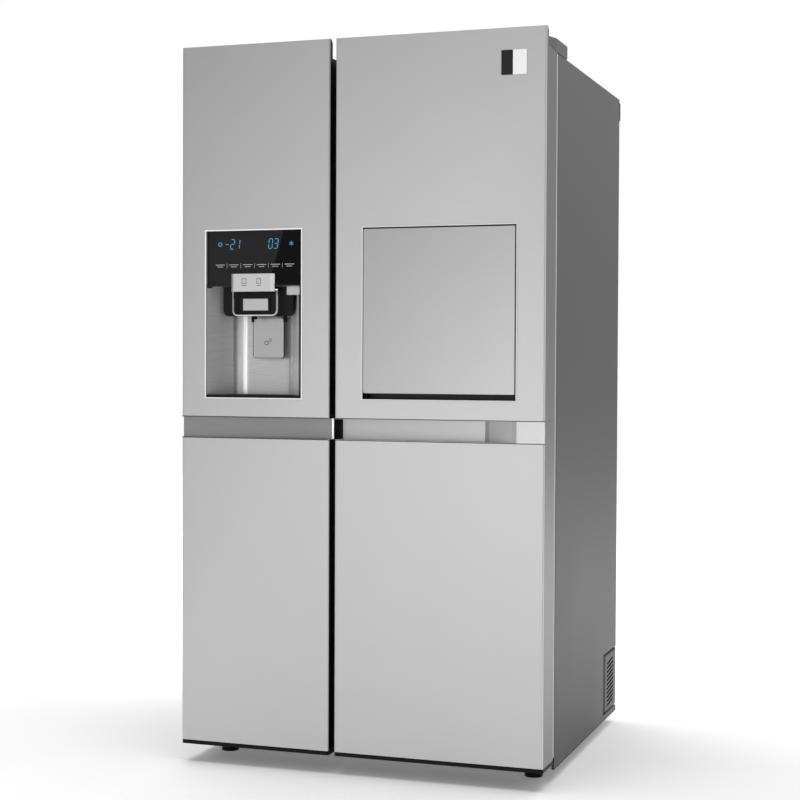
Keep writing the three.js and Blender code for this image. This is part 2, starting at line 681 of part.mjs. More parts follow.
function dispenserAlcove() {
  const housing = alongZ(alcovePlan(MOULDING, front + 4), [windowBottom + FIT, displayBottom], 6);
  const rim = ringAlongY(dispenserX.map((x, i) => x + (i ? -FIT : FIT)),
    [windowBottom + FIT, windowTop - FIT], RIM, [trimFront, front + 12]);
  const hollowZ = [windowBottom + MOULDING, displayBottom - MOULDING];
  const hollow = alongZ(alcovePlan(0, trimFront - 1), hollowZ, 6);
  const keyRoom = block(grow(keyBlockX, FIT), [trimFront, front + 8], grow(keyBlockZ, FIT));
  return housing.add(rim).subtract(hollow).subtract(keyRoom).subtract(iceDuct());
}

function dispenserDisplay() {
  const x = [dispenserX[0] + RIM + FIT * 2, dispenserX[1] - RIM - FIT * 2];
  const z = [displayBottom + FIT, windowTop - RIM - FIT * 2];
  return alongY(rounded(x, z, 3), [front + 8, front + 20], 2);
}

const spoutX = acrossDispenser(-0.359, 0.359);
const spoutBottom = displayBottom - 76;
const spoutTop = displayBottom - MOULDING - FIT;
const spoutFront = front + 30;
const LUG = 5; // the ears that carry the two levers

// black hood that hangs from the alcove ceiling: an ice chute behind it, a water plate and
// nozzle in front, and the ears that the two levers swing in
function dispenserSpout() {
  const hoodFace = rounded(spoutX, [spoutBottom, spoutTop], [14, 14, 0, 0]);
  const hood = alongY(hoodFace, [spoutFront, spoutFront + 14]);
  const chuteX = grow(iceLeverX, LUG + 3);
  const chuteZ = [spoutBottom + 20, spoutTop];
  const chute = block(chuteX, [spoutFront + 13, front + 86], chuteZ)
    .subtract(block(iceDuctX, [spoutFront + 20, front + 82], grow(chuteZ, 1)));
  const waterPlate = block(acrossDispenser(-0.176, 0.069), [spoutFront - 8, spoutFront + 1],
    [spoutBottom + 12, spoutBottom + 45]);
  const nozzleCentre = [dispenserMiddle - 10, spoutFront + 7];
  const nozzle = rod('z', 4, nozzleCentre, [spoutBottom - 8, spoutBottom + 2], 12);
  let body = hood.add(chute).add(waterPlate).add(nozzle);
  for (const end of [-1, 1]) {
    const [bailLug] = acrossDispenser(end * 0.137);
    body = body.add(block([bailLug - LUG / 2, bailLug + LUG / 2], [bailY - 4.6, spoutFront + 1],
      [bailPivotZ - 6, bailPivotZ + 4]));
    const padEdge = end < 0 ? iceLeverX[0] - LUG - 1.5 : iceLeverX[1] + 1.5;
    body = body.add(block([padEdge, padEdge + LUG], [iceLeverPivot[0] - 7, iceLeverPivot[0] + 7],
      [iceLeverPivot[1] - 7, chuteZ[0] + 1]));
  }
  return body
    .subtract(rod('x', BAIL_BAR + RUNNING, [bailY, bailPivotZ], [bailX[0], bailX[1]], 12))
    .subtract(rod('x', ICE_BAR + RUNNING, iceLeverPivot, grow(iceLeverX, LUG + 2), 12));
}

// silver block with bevelled sides across the lower edge of the display
const keyBlockX = acrossDispenser(-0.237, 0.206);
const keyBlockZ = [displayBottom - 16, displayBottom + 28];

function dispenserKeyBlock() {
  const BEVEL = 8;
  const [x, z] = [keyBlockX, keyBlockZ];
  const body = alongZ(outline([
    [x[0], front + 8 - FIT],
    [x[0] + BEVEL, front + 0.6],
    [x[1] - BEVEL, front + 0.6],
    [x[1], front + 8 - FIT],
  ]), z);
  return body;
}

// ---- levers ----
const bailX = acrossDispenser(-0.237, 0.229);
const bailPivotZ = displayBottom - 11;
const bailY = front + 13;
const BAIL_BAR = 3;

// chrome wire bail that a glass pushes: down, across and up again
function waterLever() {
  const WIRE = 2.2;
  const BEND = 13;
  const bottom = spoutBottom + 2;
  const path = new THREE.CurvePath();
  const at = (x, z) => new THREE.Vector3(x, bailY, z);
  const [left, right] = [bailX[0] + WIRE, bailX[1] - WIRE];
  const points = [at(left, bailPivotZ), at(left, bottom + BEND), at(left, bottom), at(left + BEND, bottom),
    at(right - BEND, bottom), at(right, bottom), at(right, bottom + BEND), at(right, bailPivotZ)];
  path.add(new THREE.LineCurve3(points[0], points[1]));
  path.add(new THREE.QuadraticBezierCurve3(points[1], points[2], points[3]));
  path.add(new THREE.LineCurve3(points[3], points[4]));
  path.add(new THREE.QuadraticBezierCurve3(points[4], points[5], points[6]));
  path.add(new THREE.LineCurve3(points[6], points[7]));
  const section = new THREE.Shape();
  section.absarc(0, 0, WIRE, 0, Math.PI * 2, false);
  const geometry = new THREE.ExtrudeGeometry(section, {
    steps: 44, curveSegments: 4, bevelEnabled: false, extrudePath: path,
  });
  const wire = solid(geometry);
  const crossBar = rod('x', BAIL_BAR, [bailY, bailPivotZ], [left - 3, right + 3], 10);
  return wire.add(crossBar);
}

const ICE_BAR = 3.2;
const iceLeverZ = [displayBottom - 182, displayBottom - 78];
const iceLeverX = acrossDispenser(-0.099, 0.202);
const iceLeverY = front + 66;
const iceLeverPivot = [iceLeverY + 3.5, iceLeverZ[1] - 5];

// pad on a bar: a cup pushes it back and ice falls
function iceLever() {
  const pad = alongY(rounded(iceLeverX, iceLeverZ, 10), [iceLeverY, iceLeverY + 4], 3);
  return pad.add(rod('x', ICE_BAR, iceLeverPivot, grow(iceLeverX, LUG), 12));
}

const trayZ = [windowBottom + MOULDING + FIT, windowBottom + 9.5];

function dripTray() {
  const outer = alongZ(alcovePlan(-RUNNING - 0.4, front + 1), trayZ, 6);
  const well = alongZ(alcovePlan(-RUNNING - 4, front + 3), [trayZ[0] + 2, trayZ[1] + 1], 6);
  let body = outer.subtract(well);
  for (let y = front + 14; y < front + ALCOVE_DEPTH - 34; y += 12) {
    const inset = ((y + 3 - front) / ALCOVE_DEPTH) * ALCOVE_SLANT;
    const reach = [dispenserX[0] + inset + 4, dispenserX[1] - inset - 4];
    body = body.add(block(reach, [y, y + 3], [trayZ[1] - 3, trayZ[1]]).intersect(outer));
  }
  return body;
}

function dispenserBulge() {
  return block([dispenserX[0] + 12, dispenserX[1] - 12], [doorBack - 1, doorBack + 41],
    [windowBottom - 12, displayBottom + 60]);
}

// sloping duct that lets ice fall from the bucket in the freezer to the spout
function iceDuct() {
  const yBack = doorBack + 42;
  const duct = outline([
    [front + 52, displayBottom - 4],
    [front + 80, displayBottom - 4],
    [yBack, displayBottom + 30],
    [yBack, displayBottom + 52],
    [front + 80, displayBottom + 40],
    [front + 52, displayBottom + 12],
  ]);
  return alongX(duct, iceDuctX);
}

// ---- door cores ----
function freezerDoorCore() {
  const displayRoom = block([dispenserX[0] - FIT, dispenserX[1] + FIT], [front - 1, front + 21],
    [windowBottom - FIT, windowTop + FIT]);
  const alcoveRoomZ = grow([windowBottom, displayBottom], FIT);
  const alcoveRoom = alongZ(alcovePlan(MOULDING + FIT * 2, front - 1), alcoveRoomZ, 6);
  return doorBlank(freezerDoor, [coreBottom, doorTop])
    .add(dikeRing(doorDike.freezer))
    .add(dispenserBulge())
    .subtract(bandCut(freezerDoor))
    .subtract(displayRoom)
    .subtract(alcoveRoom)
    .subtract(iceDuct())
    .subtract(pinHoles(freezerDoor));
}

const RECESS_DEPTH = 46; // the front of the home bar case that takes the flap
const homebarZ = [windowBottom, windowTop];
const passage = { x: grow(homebarX, -18.5), z: [windowBottom + 28, windowTop - 23] };

function homebarRoom(grown) {
  return block(grow(homebarX, grown), [front - 1, front + RECESS_DEPTH + grown], grow(homebarZ, grown))
    .add(block(grow(passage.x, grown), [front, doorBack + 120], grow(passage.z, grown)));
}

function fridgeDoorCore() {
  return doorBlank(fridgeDoor, [coreBottom, doorTop])
    .add(dikeRing(doorDike.fridge))
    .subtract(bandCut(fridgeDoor))
    .subtract(homebarRoom(0))
    .subtract(pinHoles(fridgeDoor));
}

function panelUpper(door) {
  const skin = doorSkin(door, [bandTop, HEIGHT], doorTop);
  const opening = door.hinge < 0
    ? block(dispenserX, [front - 1, front + 10], [windowBottom, windowTop])
    : block(homebarX, [front - 1, front + 10], homebarZ);
  return skin.subtract(opening);
}

// the lower skin's sides run on past the handle band, behind the pan
function panelLower(door) {
  const skin = doorSkin(door, [coreBottom, bandBottom], 0);
  const floors = door.hinge < 0
    ? [FREEZER_FLOOR.outer, FREEZER_FLOOR.inner]
    : [FRIDGE_FLOOR.gap, 0];
  const strip = (x, floor) => block(x, [front + floor + MOULDING + FIT + 0.4, doorBack],
    [bandBottom - 1, bandTop - FIT]);
  return skin
    .add(strip([door.left, door.left + SKIN], floors[0]))
    .add(strip([door.right - SKIN, door.right], floors[1]));
}

// ---- home bar ----
const FLAP_THICKNESS = 37;
const flapX = grow(homebarX, -4.5);
const flapZ = [windowBottom + 17, windowTop - 5.5];

function homebarCase() {
  const rim = block(grow(homebarX, -FIT), [trimFront, front + 1], grow(homebarZ, -FIT));
  const behindFront = block([-side, side], [front, doorBack + 95], [0, HEIGHT]);
  const outer = homebarRoom(-FIT).intersect(behindFront).add(rim);
  const recess = block(grow(homebarX, -RIM), [trimFront - 1, front + RECESS_DEPTH - MOULDING],
    [windowBottom + MOULDING, windowTop - RIM]);
  const inside = block(grow(passage.x, -RIM), [front, doorBack + 95 - MOULDING], grow(passage.z, -RIM));
  return outer.subtract(recess).subtract(inside);
}

// the flap: a panel that fills the recess and a plug that enters the passage
function homebarDoor() {
  const panel = alongY(rounded(flapX, flapZ, 4), [front, front + FLAP_THICKNESS], 2);
  const plug = block(grow(passage.x, -12), [front + FLAP_THICKNESS - 1, front + FLAP_THICKNESS + 11],
    [passage.z[0] + 14, passage.z[1] - 12]);
  return panel.add(plug);
}

// ---- bins, shelves, drawers ----
const BIN_DEPTH = 94;

function doorBin(dike, share, height) {
  const x = grow(dike.x, -DIKE_WIDTH - FIT);
  const z = [level(share), level(share) + height];
  return openTray(x, [doorBack + FIT, doorBack + BIN_DEPTH], z, MOULDING);
}

function shelf(cavity, z, backY) {
  const x = [cavity.left + 1.5, cavity.right - 1.5];
  const plate = block(x, [shelfFront, backY], [z, z + 5]);
  const trim = block(x, [shelfFront - 8, shelfFront + 6], [z - 2, z + 14]);
  return plate.add(trim);
}

function drawer(cavity, z, backY) {
  const x = [cavity.left + LEDGE + 4, cavity.right - LEDGE - 4];
  const tray = openTray(x, [shelfFront, backY], z, 3);
  const lip = block([x[0] - 3, x[1] + 3], [shelfFront - 14, shelfFront + 3], [z[0], z[1]]);
  const grip = block([x[0] + 30, x[1] - 30], [shelfFront - 15, shelfFront - 8], [z[1] - 34, z[1] - 12]);
  const rail = (a, b) => block([a, b], [shelfFront, backY - 10], [z[1] - 6, z[1]]);
  return tray.add(lip).subtract(grip)
    .add(rail(x[0] - LEDGE, x[0] + 1)).add(rail(x[1] - 1, x[1] + LEDGE));
}

function evaporatorCover() {
  const x = grow([freezerCavity.left, freezerCavity.right], -1);
  let body = block(x, [evaporatorFront, evaporatorFront + MOULDING], [stepTop + 1, cavityTop - 1]);
  for (const share of [0.3, 0.55, 0.8]) {
    const z = level(share);
    const slotY = grow([evaporatorFront, evaporatorFront + MOULDING], 1);
    body = body.subtract(block([x[0] + 40, x[1] - 40], slotY, [z, z + 16]));
  }
  return body;
}

function evaporator() {
  return finnedCoil([freezerCavity.left + 20, freezerCavity.right - 20],
    [evaporatorFront + 10, cavityBack - 4], [stepTop + 60, stepTop + 300], 14);
}

function iceMaker() {
  const x = [freezerCavity.left + 14, freezerCavity.right - 14];
  const z = [level(0.925), cavityTop - 2];
  const body = block(x, [shelfFront + 60, freezerBack], z);
  const tray = block([x[0] + 30, x[1] - 30], [shelfFront + 90, freezerBack - 60], [z[0] - 30, z[0] + 1]);
  return body.add(tray);
}

function iceBucket() {
  const x = [freezerCavity.left + LEDGE + 4, freezerCavity.right - LEDGE - 4];
  const z = [level(0.79), level(0.885)];
  const bucket = openTray(x, [shelfFront, freezerBack], z, 3);
  const grip = block([x[0] + 90, x[1] - 90], [shelfFront - 1, shelfFront + 4], [z[1] - 40, z[1] + 1]);
  return bucket.subtract(grip);
}

// heights of the pieces that stand in the compartments, as shares of the compartment height
const freezerShelfZ = level(0.6);
const fridgeShelfUpperZ = level(0.76);
const fridgeShelfLowerZ = level(0.54);
const drawerUpperZ = [level(0.34), level(0.43)];
const drawerLowerZ = [level(0.19), level(0.3)];
const drawerLedges = [drawerUpperZ, drawerLowerZ].map((z) => z[1] - 6);
const iceLedgeZ = level(0.79);

addNode('cabinet_shell', cabinetShell(), 'darkSteel');
addNode('rear_panel', rearPanel(), 'zinc');
addNode('cabinet_insulation', cabinetInsulation(), 'foam');
addNode('freezer_liner', liner(freezerCavity,
  [freezerShelfZ, iceLedgeZ, ...drawerLedges], freezerBack), 'white');
addNode('fridge_liner', liner(fridgeCavity,
  [fridgeShelfUpperZ, fridgeShelfLowerZ, ...drawerLedges], fridgeBack), 'white');
addNode('mullion_strip', mullionStrip(), 'silver');
addNode('base_frame', baseFrame(), 'zinc');
addNode('machine_cover', machineCover(), 'zinc');
addNode('side_vent', sideVent(), 'grey');
addNode('compressor', compressor(), 'black');
addNode('condenser_coil', finnedCoil([-90, 120], [fanY - 80, fanY + 80],
  [cabinetBottom + 8, machineTop - 20], 14), 'darkSteel');
addNode('condenser_fan', condenserFan(), 'grey');
addNode('power_inlet', powerInlet(), 'black');
addNode('rear_spacer_left', rearSpacer(-1), 'black');
addNode('rear_spacer_right', rearSpacer(1), 'black');
addNode('front_foot_left', frontFoot(-1), 'black');
addNode('front_foot_right', frontFoot(1), 'black');
addNode('rear_roller_left', rearRoller(-1), 'black');
addNode('rear_roller_right', rearRoller(1), 'black');
addNode('top_hinge_left', topHinge(-1), 'zinc');
addNode('top_hinge_right', topHinge(1), 'zinc');
addNode('hinge_cover_left', hingeCover(-1), 'grey');
addNode('hinge_cover_right', hingeCover(1), 'grey');
addNode('bottom_hinge_left', bottomHinge(-1), 'zinc');
addNode('bottom_hinge_right', bottomHinge(1), 'zinc');

addNode('evaporator_cover', evaporatorCover(), 'white');
addNode('evaporator', evaporator(), 'zinc');
addNode('ice_maker', iceMaker(), 'white');
addNode('ice_bucket', iceBucket(), 'clear');
addNode('freezer_shelf', shelf(freezerCavity, freezerShelfZ, freezerBack), 'clear');
addNode('freezer_drawer_upper', drawer(freezerCavity, drawerUpperZ, freezerBack), 'clear');
addNode('freezer_drawer_lower', drawer(freezerCavity, drawerLowerZ, freezerBack), 'clear');
addNode('fridge_shelf_upper', shelf(fridgeCavity, fridgeShelfUpperZ, fridgeBack), 'clear');
addNode('fridge_shelf_lower', shelf(fridgeCavity, fridgeShelfLowerZ, fridgeBack), 'clear');
addNode('crisper_drawer_upper', drawer(fridgeCavity, drawerUpperZ, fridgeBack), 'clear');
addNode('crisper_drawer_lower', drawer(fridgeCavity, drawerLowerZ, fridgeBack), 'clear');

addNode('freezer_door_core', freezerDoorCore(), 'white');
addNode('freezer_panel_upper', panelUpper(freezerDoor), 'steel');
addNode('freezer_panel_lower', panelLower(freezerDoor), 'steel');
addNode('freezer_handle_pan', freezerHandlePan(), 'silver');
addNode('freezer_bottom_cap', doorBottomCap(freezerDoor), 'black');
addNode('freezer_gasket', doorGasket(freezerDoor), 'rubber');
addNode('freezer_door_bin_upper', doorBin(doorDike.freezer, 0.84, 90), 'clear');
addNode('freezer_door_bin_lower', doorBin(doorDike.freezer, 0.24, 90), 'clear');
addNode('dispenser_alcove', dispenserAlcove(), 'silver');
addNode('dispenser_display', dispenserDisplay(), 'glassBlack');
addNode('dispenser_spout', dispenserSpout(), 'black');
addNode('dispenser_key_block', dispenserKeyBlock(), 'silver');
addNode('water_lever', waterLever(), 'chrome');
addNode('ice_lever', iceLever(), 'silver');
addNode('drip_tray', dripTray(), 'black');

addNode('fridge_door_core', fridgeDoorCore(), 'white');
addNode('fridge_panel_upper', panelUpper(fridgeDoor), 'steel');
addNode('fridge_panel_lower', panelLower(fridgeDoor), 'steel');
addNode('fridge_handle_pan', fridgeHandlePan(), 'silver');
addNode('fridge_bottom_cap', doorBottomCap(fridgeDoor), 'black');
addNode('fridge_gasket', doorGasket(fridgeDoor), 'rubber');
addNode('fridge_door_bin', doorBin(doorDike.fridge, 0.84, 90), 'clear');
addNode('homebar_case', homebarCase(), 'white');
addNode('homebar_door', homebarDoor(), 'steel');

export default group;
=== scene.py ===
"""Looks of the side by side refrigerator: materials, small fittings, light and camera."""

import json
import math
import random

import bmesh
import bpy
from mathutils import Matrix, Vector


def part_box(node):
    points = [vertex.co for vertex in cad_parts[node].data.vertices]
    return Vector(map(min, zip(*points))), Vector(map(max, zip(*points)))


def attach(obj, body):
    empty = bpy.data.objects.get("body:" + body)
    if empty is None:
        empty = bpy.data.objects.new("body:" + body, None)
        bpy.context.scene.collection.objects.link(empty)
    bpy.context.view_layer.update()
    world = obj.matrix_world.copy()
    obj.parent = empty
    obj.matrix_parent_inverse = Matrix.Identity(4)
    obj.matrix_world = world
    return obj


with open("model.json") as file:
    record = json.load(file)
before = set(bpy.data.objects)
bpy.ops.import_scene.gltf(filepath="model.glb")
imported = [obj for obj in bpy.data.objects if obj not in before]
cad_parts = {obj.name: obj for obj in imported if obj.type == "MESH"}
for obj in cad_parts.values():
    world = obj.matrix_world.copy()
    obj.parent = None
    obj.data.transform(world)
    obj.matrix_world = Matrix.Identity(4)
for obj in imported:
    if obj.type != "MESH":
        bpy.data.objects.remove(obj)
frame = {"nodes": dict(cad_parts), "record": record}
random.seed(11)
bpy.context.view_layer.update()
nodes = frame["nodes"]


X, Y, Z = (1, 0, 0), (0, 1, 0), (0, 0, 1)
TO_LEFT, TO_FRONT, DOWN = (-1, 0, 0), (0, -1, 0), (0, 0, -1)
FRONT_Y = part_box("freezer_panel_upper")[0].y
SIDE_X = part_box("fridge_panel_upper")[1].x
GAP_X = (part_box("freezer_panel_upper")[1].x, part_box("fridge_panel_upper")[0].x)
FLUSH_PLATE = 0.0835  # length of the flush plate at the right end of the handle band


# ---------------------------------------------------------------- materials
def grey(value, tint=(1.0, 1.0, 1.0)):
    """An sRGB grey from 0 to 255 as linear RGBA, with a tint."""
    share = value / 255
    linear = share / 12.92 if share <= 0.04045 else ((share + 0.055) / 1.055) ** 2.4
    return (linear * tint[0], linear * tint[1], linear * tint[2], 1.0)


class Finish:
    """A procedural material: a base shader with noise on its colour, its roughness and its height."""

    def __init__(self, name, low, high, roughness, metallic=0.0):
        self.material = bpy.data.materials.new(name)
        self.material.use_nodes = True
        self.tree = self.material.node_tree
        self.shader = self.tree.nodes["Principled BSDF"]
        self.shader.inputs["Metallic"].default_value = metallic
        self.place = self.tree.nodes.new("ShaderNodeTexCoord").outputs["Object"]
        self.height = None
        clouds = self.noise(scale=3.5, detail=4)
        self.colour = self.ramp(clouds, low, high)
        self.tree.links.new(self.colour, self.shader.inputs["Base Color"])
        self.rough(roughness, clouds)

    def noise(self, scale, detail=3.0, stretch=(1, 1, 1)):
        mapping = self.tree.nodes.new("ShaderNodeMapping")
        mapping.inputs["Scale"].default_value = stretch
        self.tree.links.new(self.place, mapping.inputs["Vector"])
        texture = self.tree.nodes.new("ShaderNodeTexNoise")
        texture.inputs["Scale"].default_value = scale
        texture.inputs["Detail"].default_value = detail
        self.tree.links.new(mapping.outputs["Vector"], texture.inputs["Vector"])
        return texture.outputs["Fac"]

    def ramp(self, factor, low, high, start=0.3, end=0.7):
        node = self.tree.nodes.new("ShaderNodeValToRGB")
        node.color_ramp.elements[0].position = start
        node.color_ramp.elements[0].color = low
        node.color_ramp.elements[1].position = end
        node.color_ramp.elements[1].color = high
        self.tree.links.new(factor, node.inputs["Fac"])
        return node.outputs["Color"]

    def rough(self, limits, factor):
        node = self.tree.nodes.new("ShaderNodeMapRange")
        node.inputs["To Min"].default_value = limits[0]
        node.inputs["To Max"].default_value = limits[1]
        self.tree.links.new(factor, node.inputs["Value"])
        self.tree.links.new(node.outputs["Result"], self.shader.inputs["Roughness"])

    def bump(self, factor, strength, distance):
        node = self.tree.nodes.new("ShaderNodeBump")
        node.inputs["Strength"].default_value = strength
        node.inputs["Distance"].default_value = distance
        self.tree.links.new(factor, node.inputs["Height"])
        if self.height is not None:
            self.tree.links.new(self.height, node.inputs["Normal"])
        self.height = node.outputs["Normal"]
        self.tree.links.new(self.height, self.shader.inputs["Normal"])

    def recolour(self, factor, other):
        """Lays another colour over the base where factor is high."""
        node = self.tree.nodes.new("ShaderNodeMix")
        node.data_type = "RGBA"
        self.tree.links.new(factor, node.inputs["Factor"])
        self.tree.links.new(self.colour, node.inputs["A"])
        node.inputs["B"].default_value = other
        self.colour = node.outputs["Result"]
        self.tree.links.new(self.colour, self.shader.inputs["Base Color"])

    def along(self, direction, start, end):
        """A factor that rises from 0 to 1 as a point moves from start to end along a direction."""
        dot = self.tree.nodes.new("ShaderNodeVectorMath")
        dot.operation = "DOT_PRODUCT"
        dot.inputs[1].default_value = direction
        self.tree.links.new(self.place, dot.inputs[0])
        node = self.tree.nodes.new("ShaderNodeMapRange")
        node.inputs["From Min"].default_value = start
        node.inputs["From Max"].default_value = end
        self.tree.links.new(dot.outputs["Value"], node.inputs["Value"])
        return node.outputs["Result"]

    def both(self, *factors):
        """The product of several factors."""
        product = factors[0]
        for factor in factors[1:]:
            node = self.tree.nodes.new("ShaderNodeMath")
            node.operation = "MULTIPLY"
            self.tree.links.new(product, node.inputs[0])
            self.tree.links.new(factor, node.inputs[1])
            product = node.outputs["Value"]
        return product

    def between(self, axis, low, high, soft=0.0005):
        """A factor that is 1 from low to high along an axis and 0 outside."""
        ahead = self.along(axis, low - soft, low)
        behind = self.along([-share for share in axis], -high - soft, -high)
        return self.both(ahead, behind)

    def dull(self, level):
        self.shader.inputs["Specular IOR Level"].default_value = level

    def shade(self, factor, low, high):
        """Multiplies the colour by a grey that goes from low to high with factor."""
        tone = self.ramp(factor, (low, low, low, 1), (high, high, high, 1), 0.0, 1.0)
        mix = self.tree.nodes.new("ShaderNodeMix")
        mix.data_type = "RGBA"
        mix.blend_type = "MULTIPLY"
        mix.inputs["Factor"].default_value = 1.0
        self.tree.links.new(self.colour, mix.inputs["A"])
        self.tree.links.new(tone, mix.inputs["B"])
        self.colour = mix.outputs["Result"]
        self.tree.links.new(self.colour, self.shader.inputs["Base Color"])


def front_steel(name, painted_shade_drift, gap_shaded_node=None):
    """Fine satin steel with painted shade: its tone goes from a darker upper left to a lighter lower right.

    The node named by the last argument gets painted gap shade: a dark line down its right edge and along its
    top.
    """
    finish = Finish(name, grey(190), grey(193), (0.36, 0.42), metallic=0.3)
    grain = finish.noise(scale=1.0, detail=6, stretch=(14, 14, 900))
    finish.bump(grain, 0.04, 0.0004)
    # Painted shade: the colour darkens along the drift direction, towards the upper left.
    direction, start, end, darkest = painted_shade_drift
    finish.shade(finish.along(direction, start, end), darkest, 1.0)
    # Painted shade: every face behind the front face, such as the door sides, is darkened to half.
    finish.shade(finish.along(Y, FRONT_Y + 0.0015, FRONT_Y + 0.0045), 1.0, 0.5)
    # Painted shade: the door faces that look into the gap between the doors are made near black.
    gap_shade = finish.between(X, GAP_X[0] - 0.0004, GAP_X[1] + 0.0004)
    finish.recolour(finish.both(gap_shade, finish.along(Y, FRONT_Y + 0.001, FRONT_Y + 0.002)), grey(14))
    # Painted highlight: a bright line down the front right edge of the doors.
    edge_highlight = finish.along(X, SIDE_X - 0.0022, SIDE_X - 0.0014)
    near_front = finish.along(TO_FRONT, -FRONT_Y - 0.003, -FRONT_Y - 0.002)
    finish.recolour(finish.both(edge_highlight, near_front), grey(245))
    if gap_shaded_node:
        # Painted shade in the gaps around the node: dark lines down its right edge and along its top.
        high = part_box(gap_shaded_node)[1]
        finish.recolour(finish.along(X, high.x - 0.0024, high.x - 0.0018), grey(40))
        finish.recolour(finish.along(Z, high.z - 0.0014, high.z - 0.001), grey(30))
    return finish.material


def side_paint():
    finish = Finish("side_paint", grey(116), grey(120), (0.42, 0.5), metallic=0.25)
    # Painted shade: the side darkens towards the bottom.
    finish.shade(finish.along(Z, 0.05, 1.7), 0.27, 1.0)
    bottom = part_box("cabinet_shell")[0].z
    finish.recolour(finish.along(DOWN, -bottom - 0.006, -bottom - 0.005), grey(10))
    finish.bump(finish.noise(scale=900, detail=2), 0.12, 0.0004)
    return finish.material


def zinc_steel():
    finish = Finish("zinc_steel", grey(150), grey(176), (0.36, 0.55), metallic=0.8)
    spangle = finish.tree.nodes.new("ShaderNodeTexVoronoi")
    spangle.inputs["Scale"].default_value = 160
    finish.tree.links.new(finish.place, spangle.inputs["Vector"])
    finish.recolour(finish.ramp(spangle.outputs["Distance"], (0, 0, 0, 1), (0.3, 0.3, 0.3, 1)), grey(196))
    finish.bump(finish.noise(scale=300), 0.08, 0.0003)
    return finish.material


def white_plastic():
    finish = Finish("white_plastic", grey(226), grey(233), (0.32, 0.42))
    finish.bump(finish.noise(scale=700, detail=2), 0.06, 0.0003)
    return finish.material


def foam():
    """Pale yellow foam behind a grey tape that closes its front edge."""
    finish = Finish("foam", grey(205, (1, 0.9, 0.6)), grey(222, (1, 0.92, 0.66)), (0.85, 0.95))
    finish.bump(finish.noise(scale=420, detail=8), 0.7, 0.002)
    front_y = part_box("cabinet_insulation")[0].y
    finish.recolour(finish.along(TO_FRONT, -front_y - 0.004, -front_y - 0.003), grey(150))
    return finish.material


def silver_trim():
    finish = Finish("silver_trim", grey(172), grey(178), (0.3, 0.38), metallic=0.6)
    grain = finish.noise(scale=1.0, detail=6, stretch=(20, 20, 1200))
    finish.bump(grain, 0.1, 0.0004)
    return finish.material


def brushed_alcove():
    finish = Finish("brushed_alcove", grey(246), grey(252), (0.24, 0.34), metallic=0.45)
    grain = finish.noise(scale=1.0, detail=6, stretch=(26, 26, 1500))
    finish.recolour(finish.ramp(grain, (0, 0, 0, 1), (0.3, 0.3, 0.3, 1), 0.42, 0.6), grey(180))
    finish.bump(grain, 0.2, 0.0004)
    low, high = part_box("dispenser_alcove")
    # Painted shade: the alcove is darkened to half, except near its right wall.
    finish.shade(finish.along(X, high.x - 0.075, high.x - 0.05), 0.5, 1.0)
    # Painted highlight: a white stripe down the left rear corner of the alcove.
    corner_x = low.x + 0.28 * (high.x - low.x)
    corner_highlight = finish.between(X, corner_x - 0.018, corner_x, 0.003)
    finish.recolour(finish.both(corner_highlight, finish.along(Y, high.y - 0.028, high.y - 0.022)), grey(255))
    # Painted shade: a dark band just inside the rim on the right wall.
    finish.recolour(finish.along(X, high.x - 0.021, high.x - 0.018), grey(30))
    in_front = finish.along(TO_FRONT, -low.y - 0.003, -low.y - 0.0015)
    finish.recolour(in_front, grey(236))
    # Painted shade: a black band under the display ledge, along the top of the opening.
    ledge_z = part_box("dispenser_display")[0].z
    ledge_shade = finish.both(finish.between(Z, ledge_z - 0.006, ledge_z + 0.001),
                           finish.along(TO_FRONT, -low.y - 0.02, -low.y - 0.015),
                           finish.between(X, low.x + 0.0035, high.x - 0.0035))
    finish.recolour(ledge_shade, grey(8))
    return finish.material


def band_steel(pan, tone, shades, reach):
    """Brushed pan in the handle band, darkened by painted shade that changes over the left part that reach
    names.
    """
    finish = Finish(f"{pan}_steel", grey(tone), grey(tone + 4), (0.28, 0.36), metallic=0.4)
    grain = finish.noise(scale=1.0, detail=6, stretch=(20, 20, 1200))
    finish.bump(grain, 0.12, 0.0004)
    low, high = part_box(pan)
    # Painted shade: the recessed pan is darkened to about three quarters.
    finish.shade(finish.along(X, low.x, low.x + reach * (high.x - low.x)), *shades)
    finish.shade(finish.along(X, SIDE_X - FLUSH_PLATE, SIDE_X - FLUSH_PLATE + 0.004), 1.0, 0.9)
    # Painted highlight: a bright line at the end of the freezer pan beside the door gap.
    finish.recolour(finish.between(X, GAP_X[0] - 0.0042, GAP_X[0] + 0.0005), grey(250))
    # Painted shadow lines along the top and bottom edges of the pan.
    finish.recolour(finish.along(Z, high.z - 0.0022, high.z - 0.0014), grey(40))
    finish.recolour(finish.along(DOWN, -low.z - 0.0022, -low.z - 0.0014), grey(40))
    return finish.material


def homebar_lining():
    """White inside, with painted shade that makes the recess around the flap black, and a bright rim at the
    very front.
    """
    finish = Finish("homebar_lining", grey(226), grey(233), (0.36, 0.46))
    finish.bump(finish.noise(scale=700, detail=2), 0.06, 0.0003)
    flap_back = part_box("homebar_door")[1].y
    rim_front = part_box("homebar_case")[0].y
    # Painted shade: everything in front of the flap's back, the recess around the flap, is made near black.
    finish.recolour(finish.along(TO_FRONT, -flap_back - 0.002, -flap_back), grey(8))
    finish.recolour(finish.along(TO_FRONT, -rim_front - 0.0012, -rim_front - 0.0006), grey(225))
    finish.dull(0.3)
    return finish.material


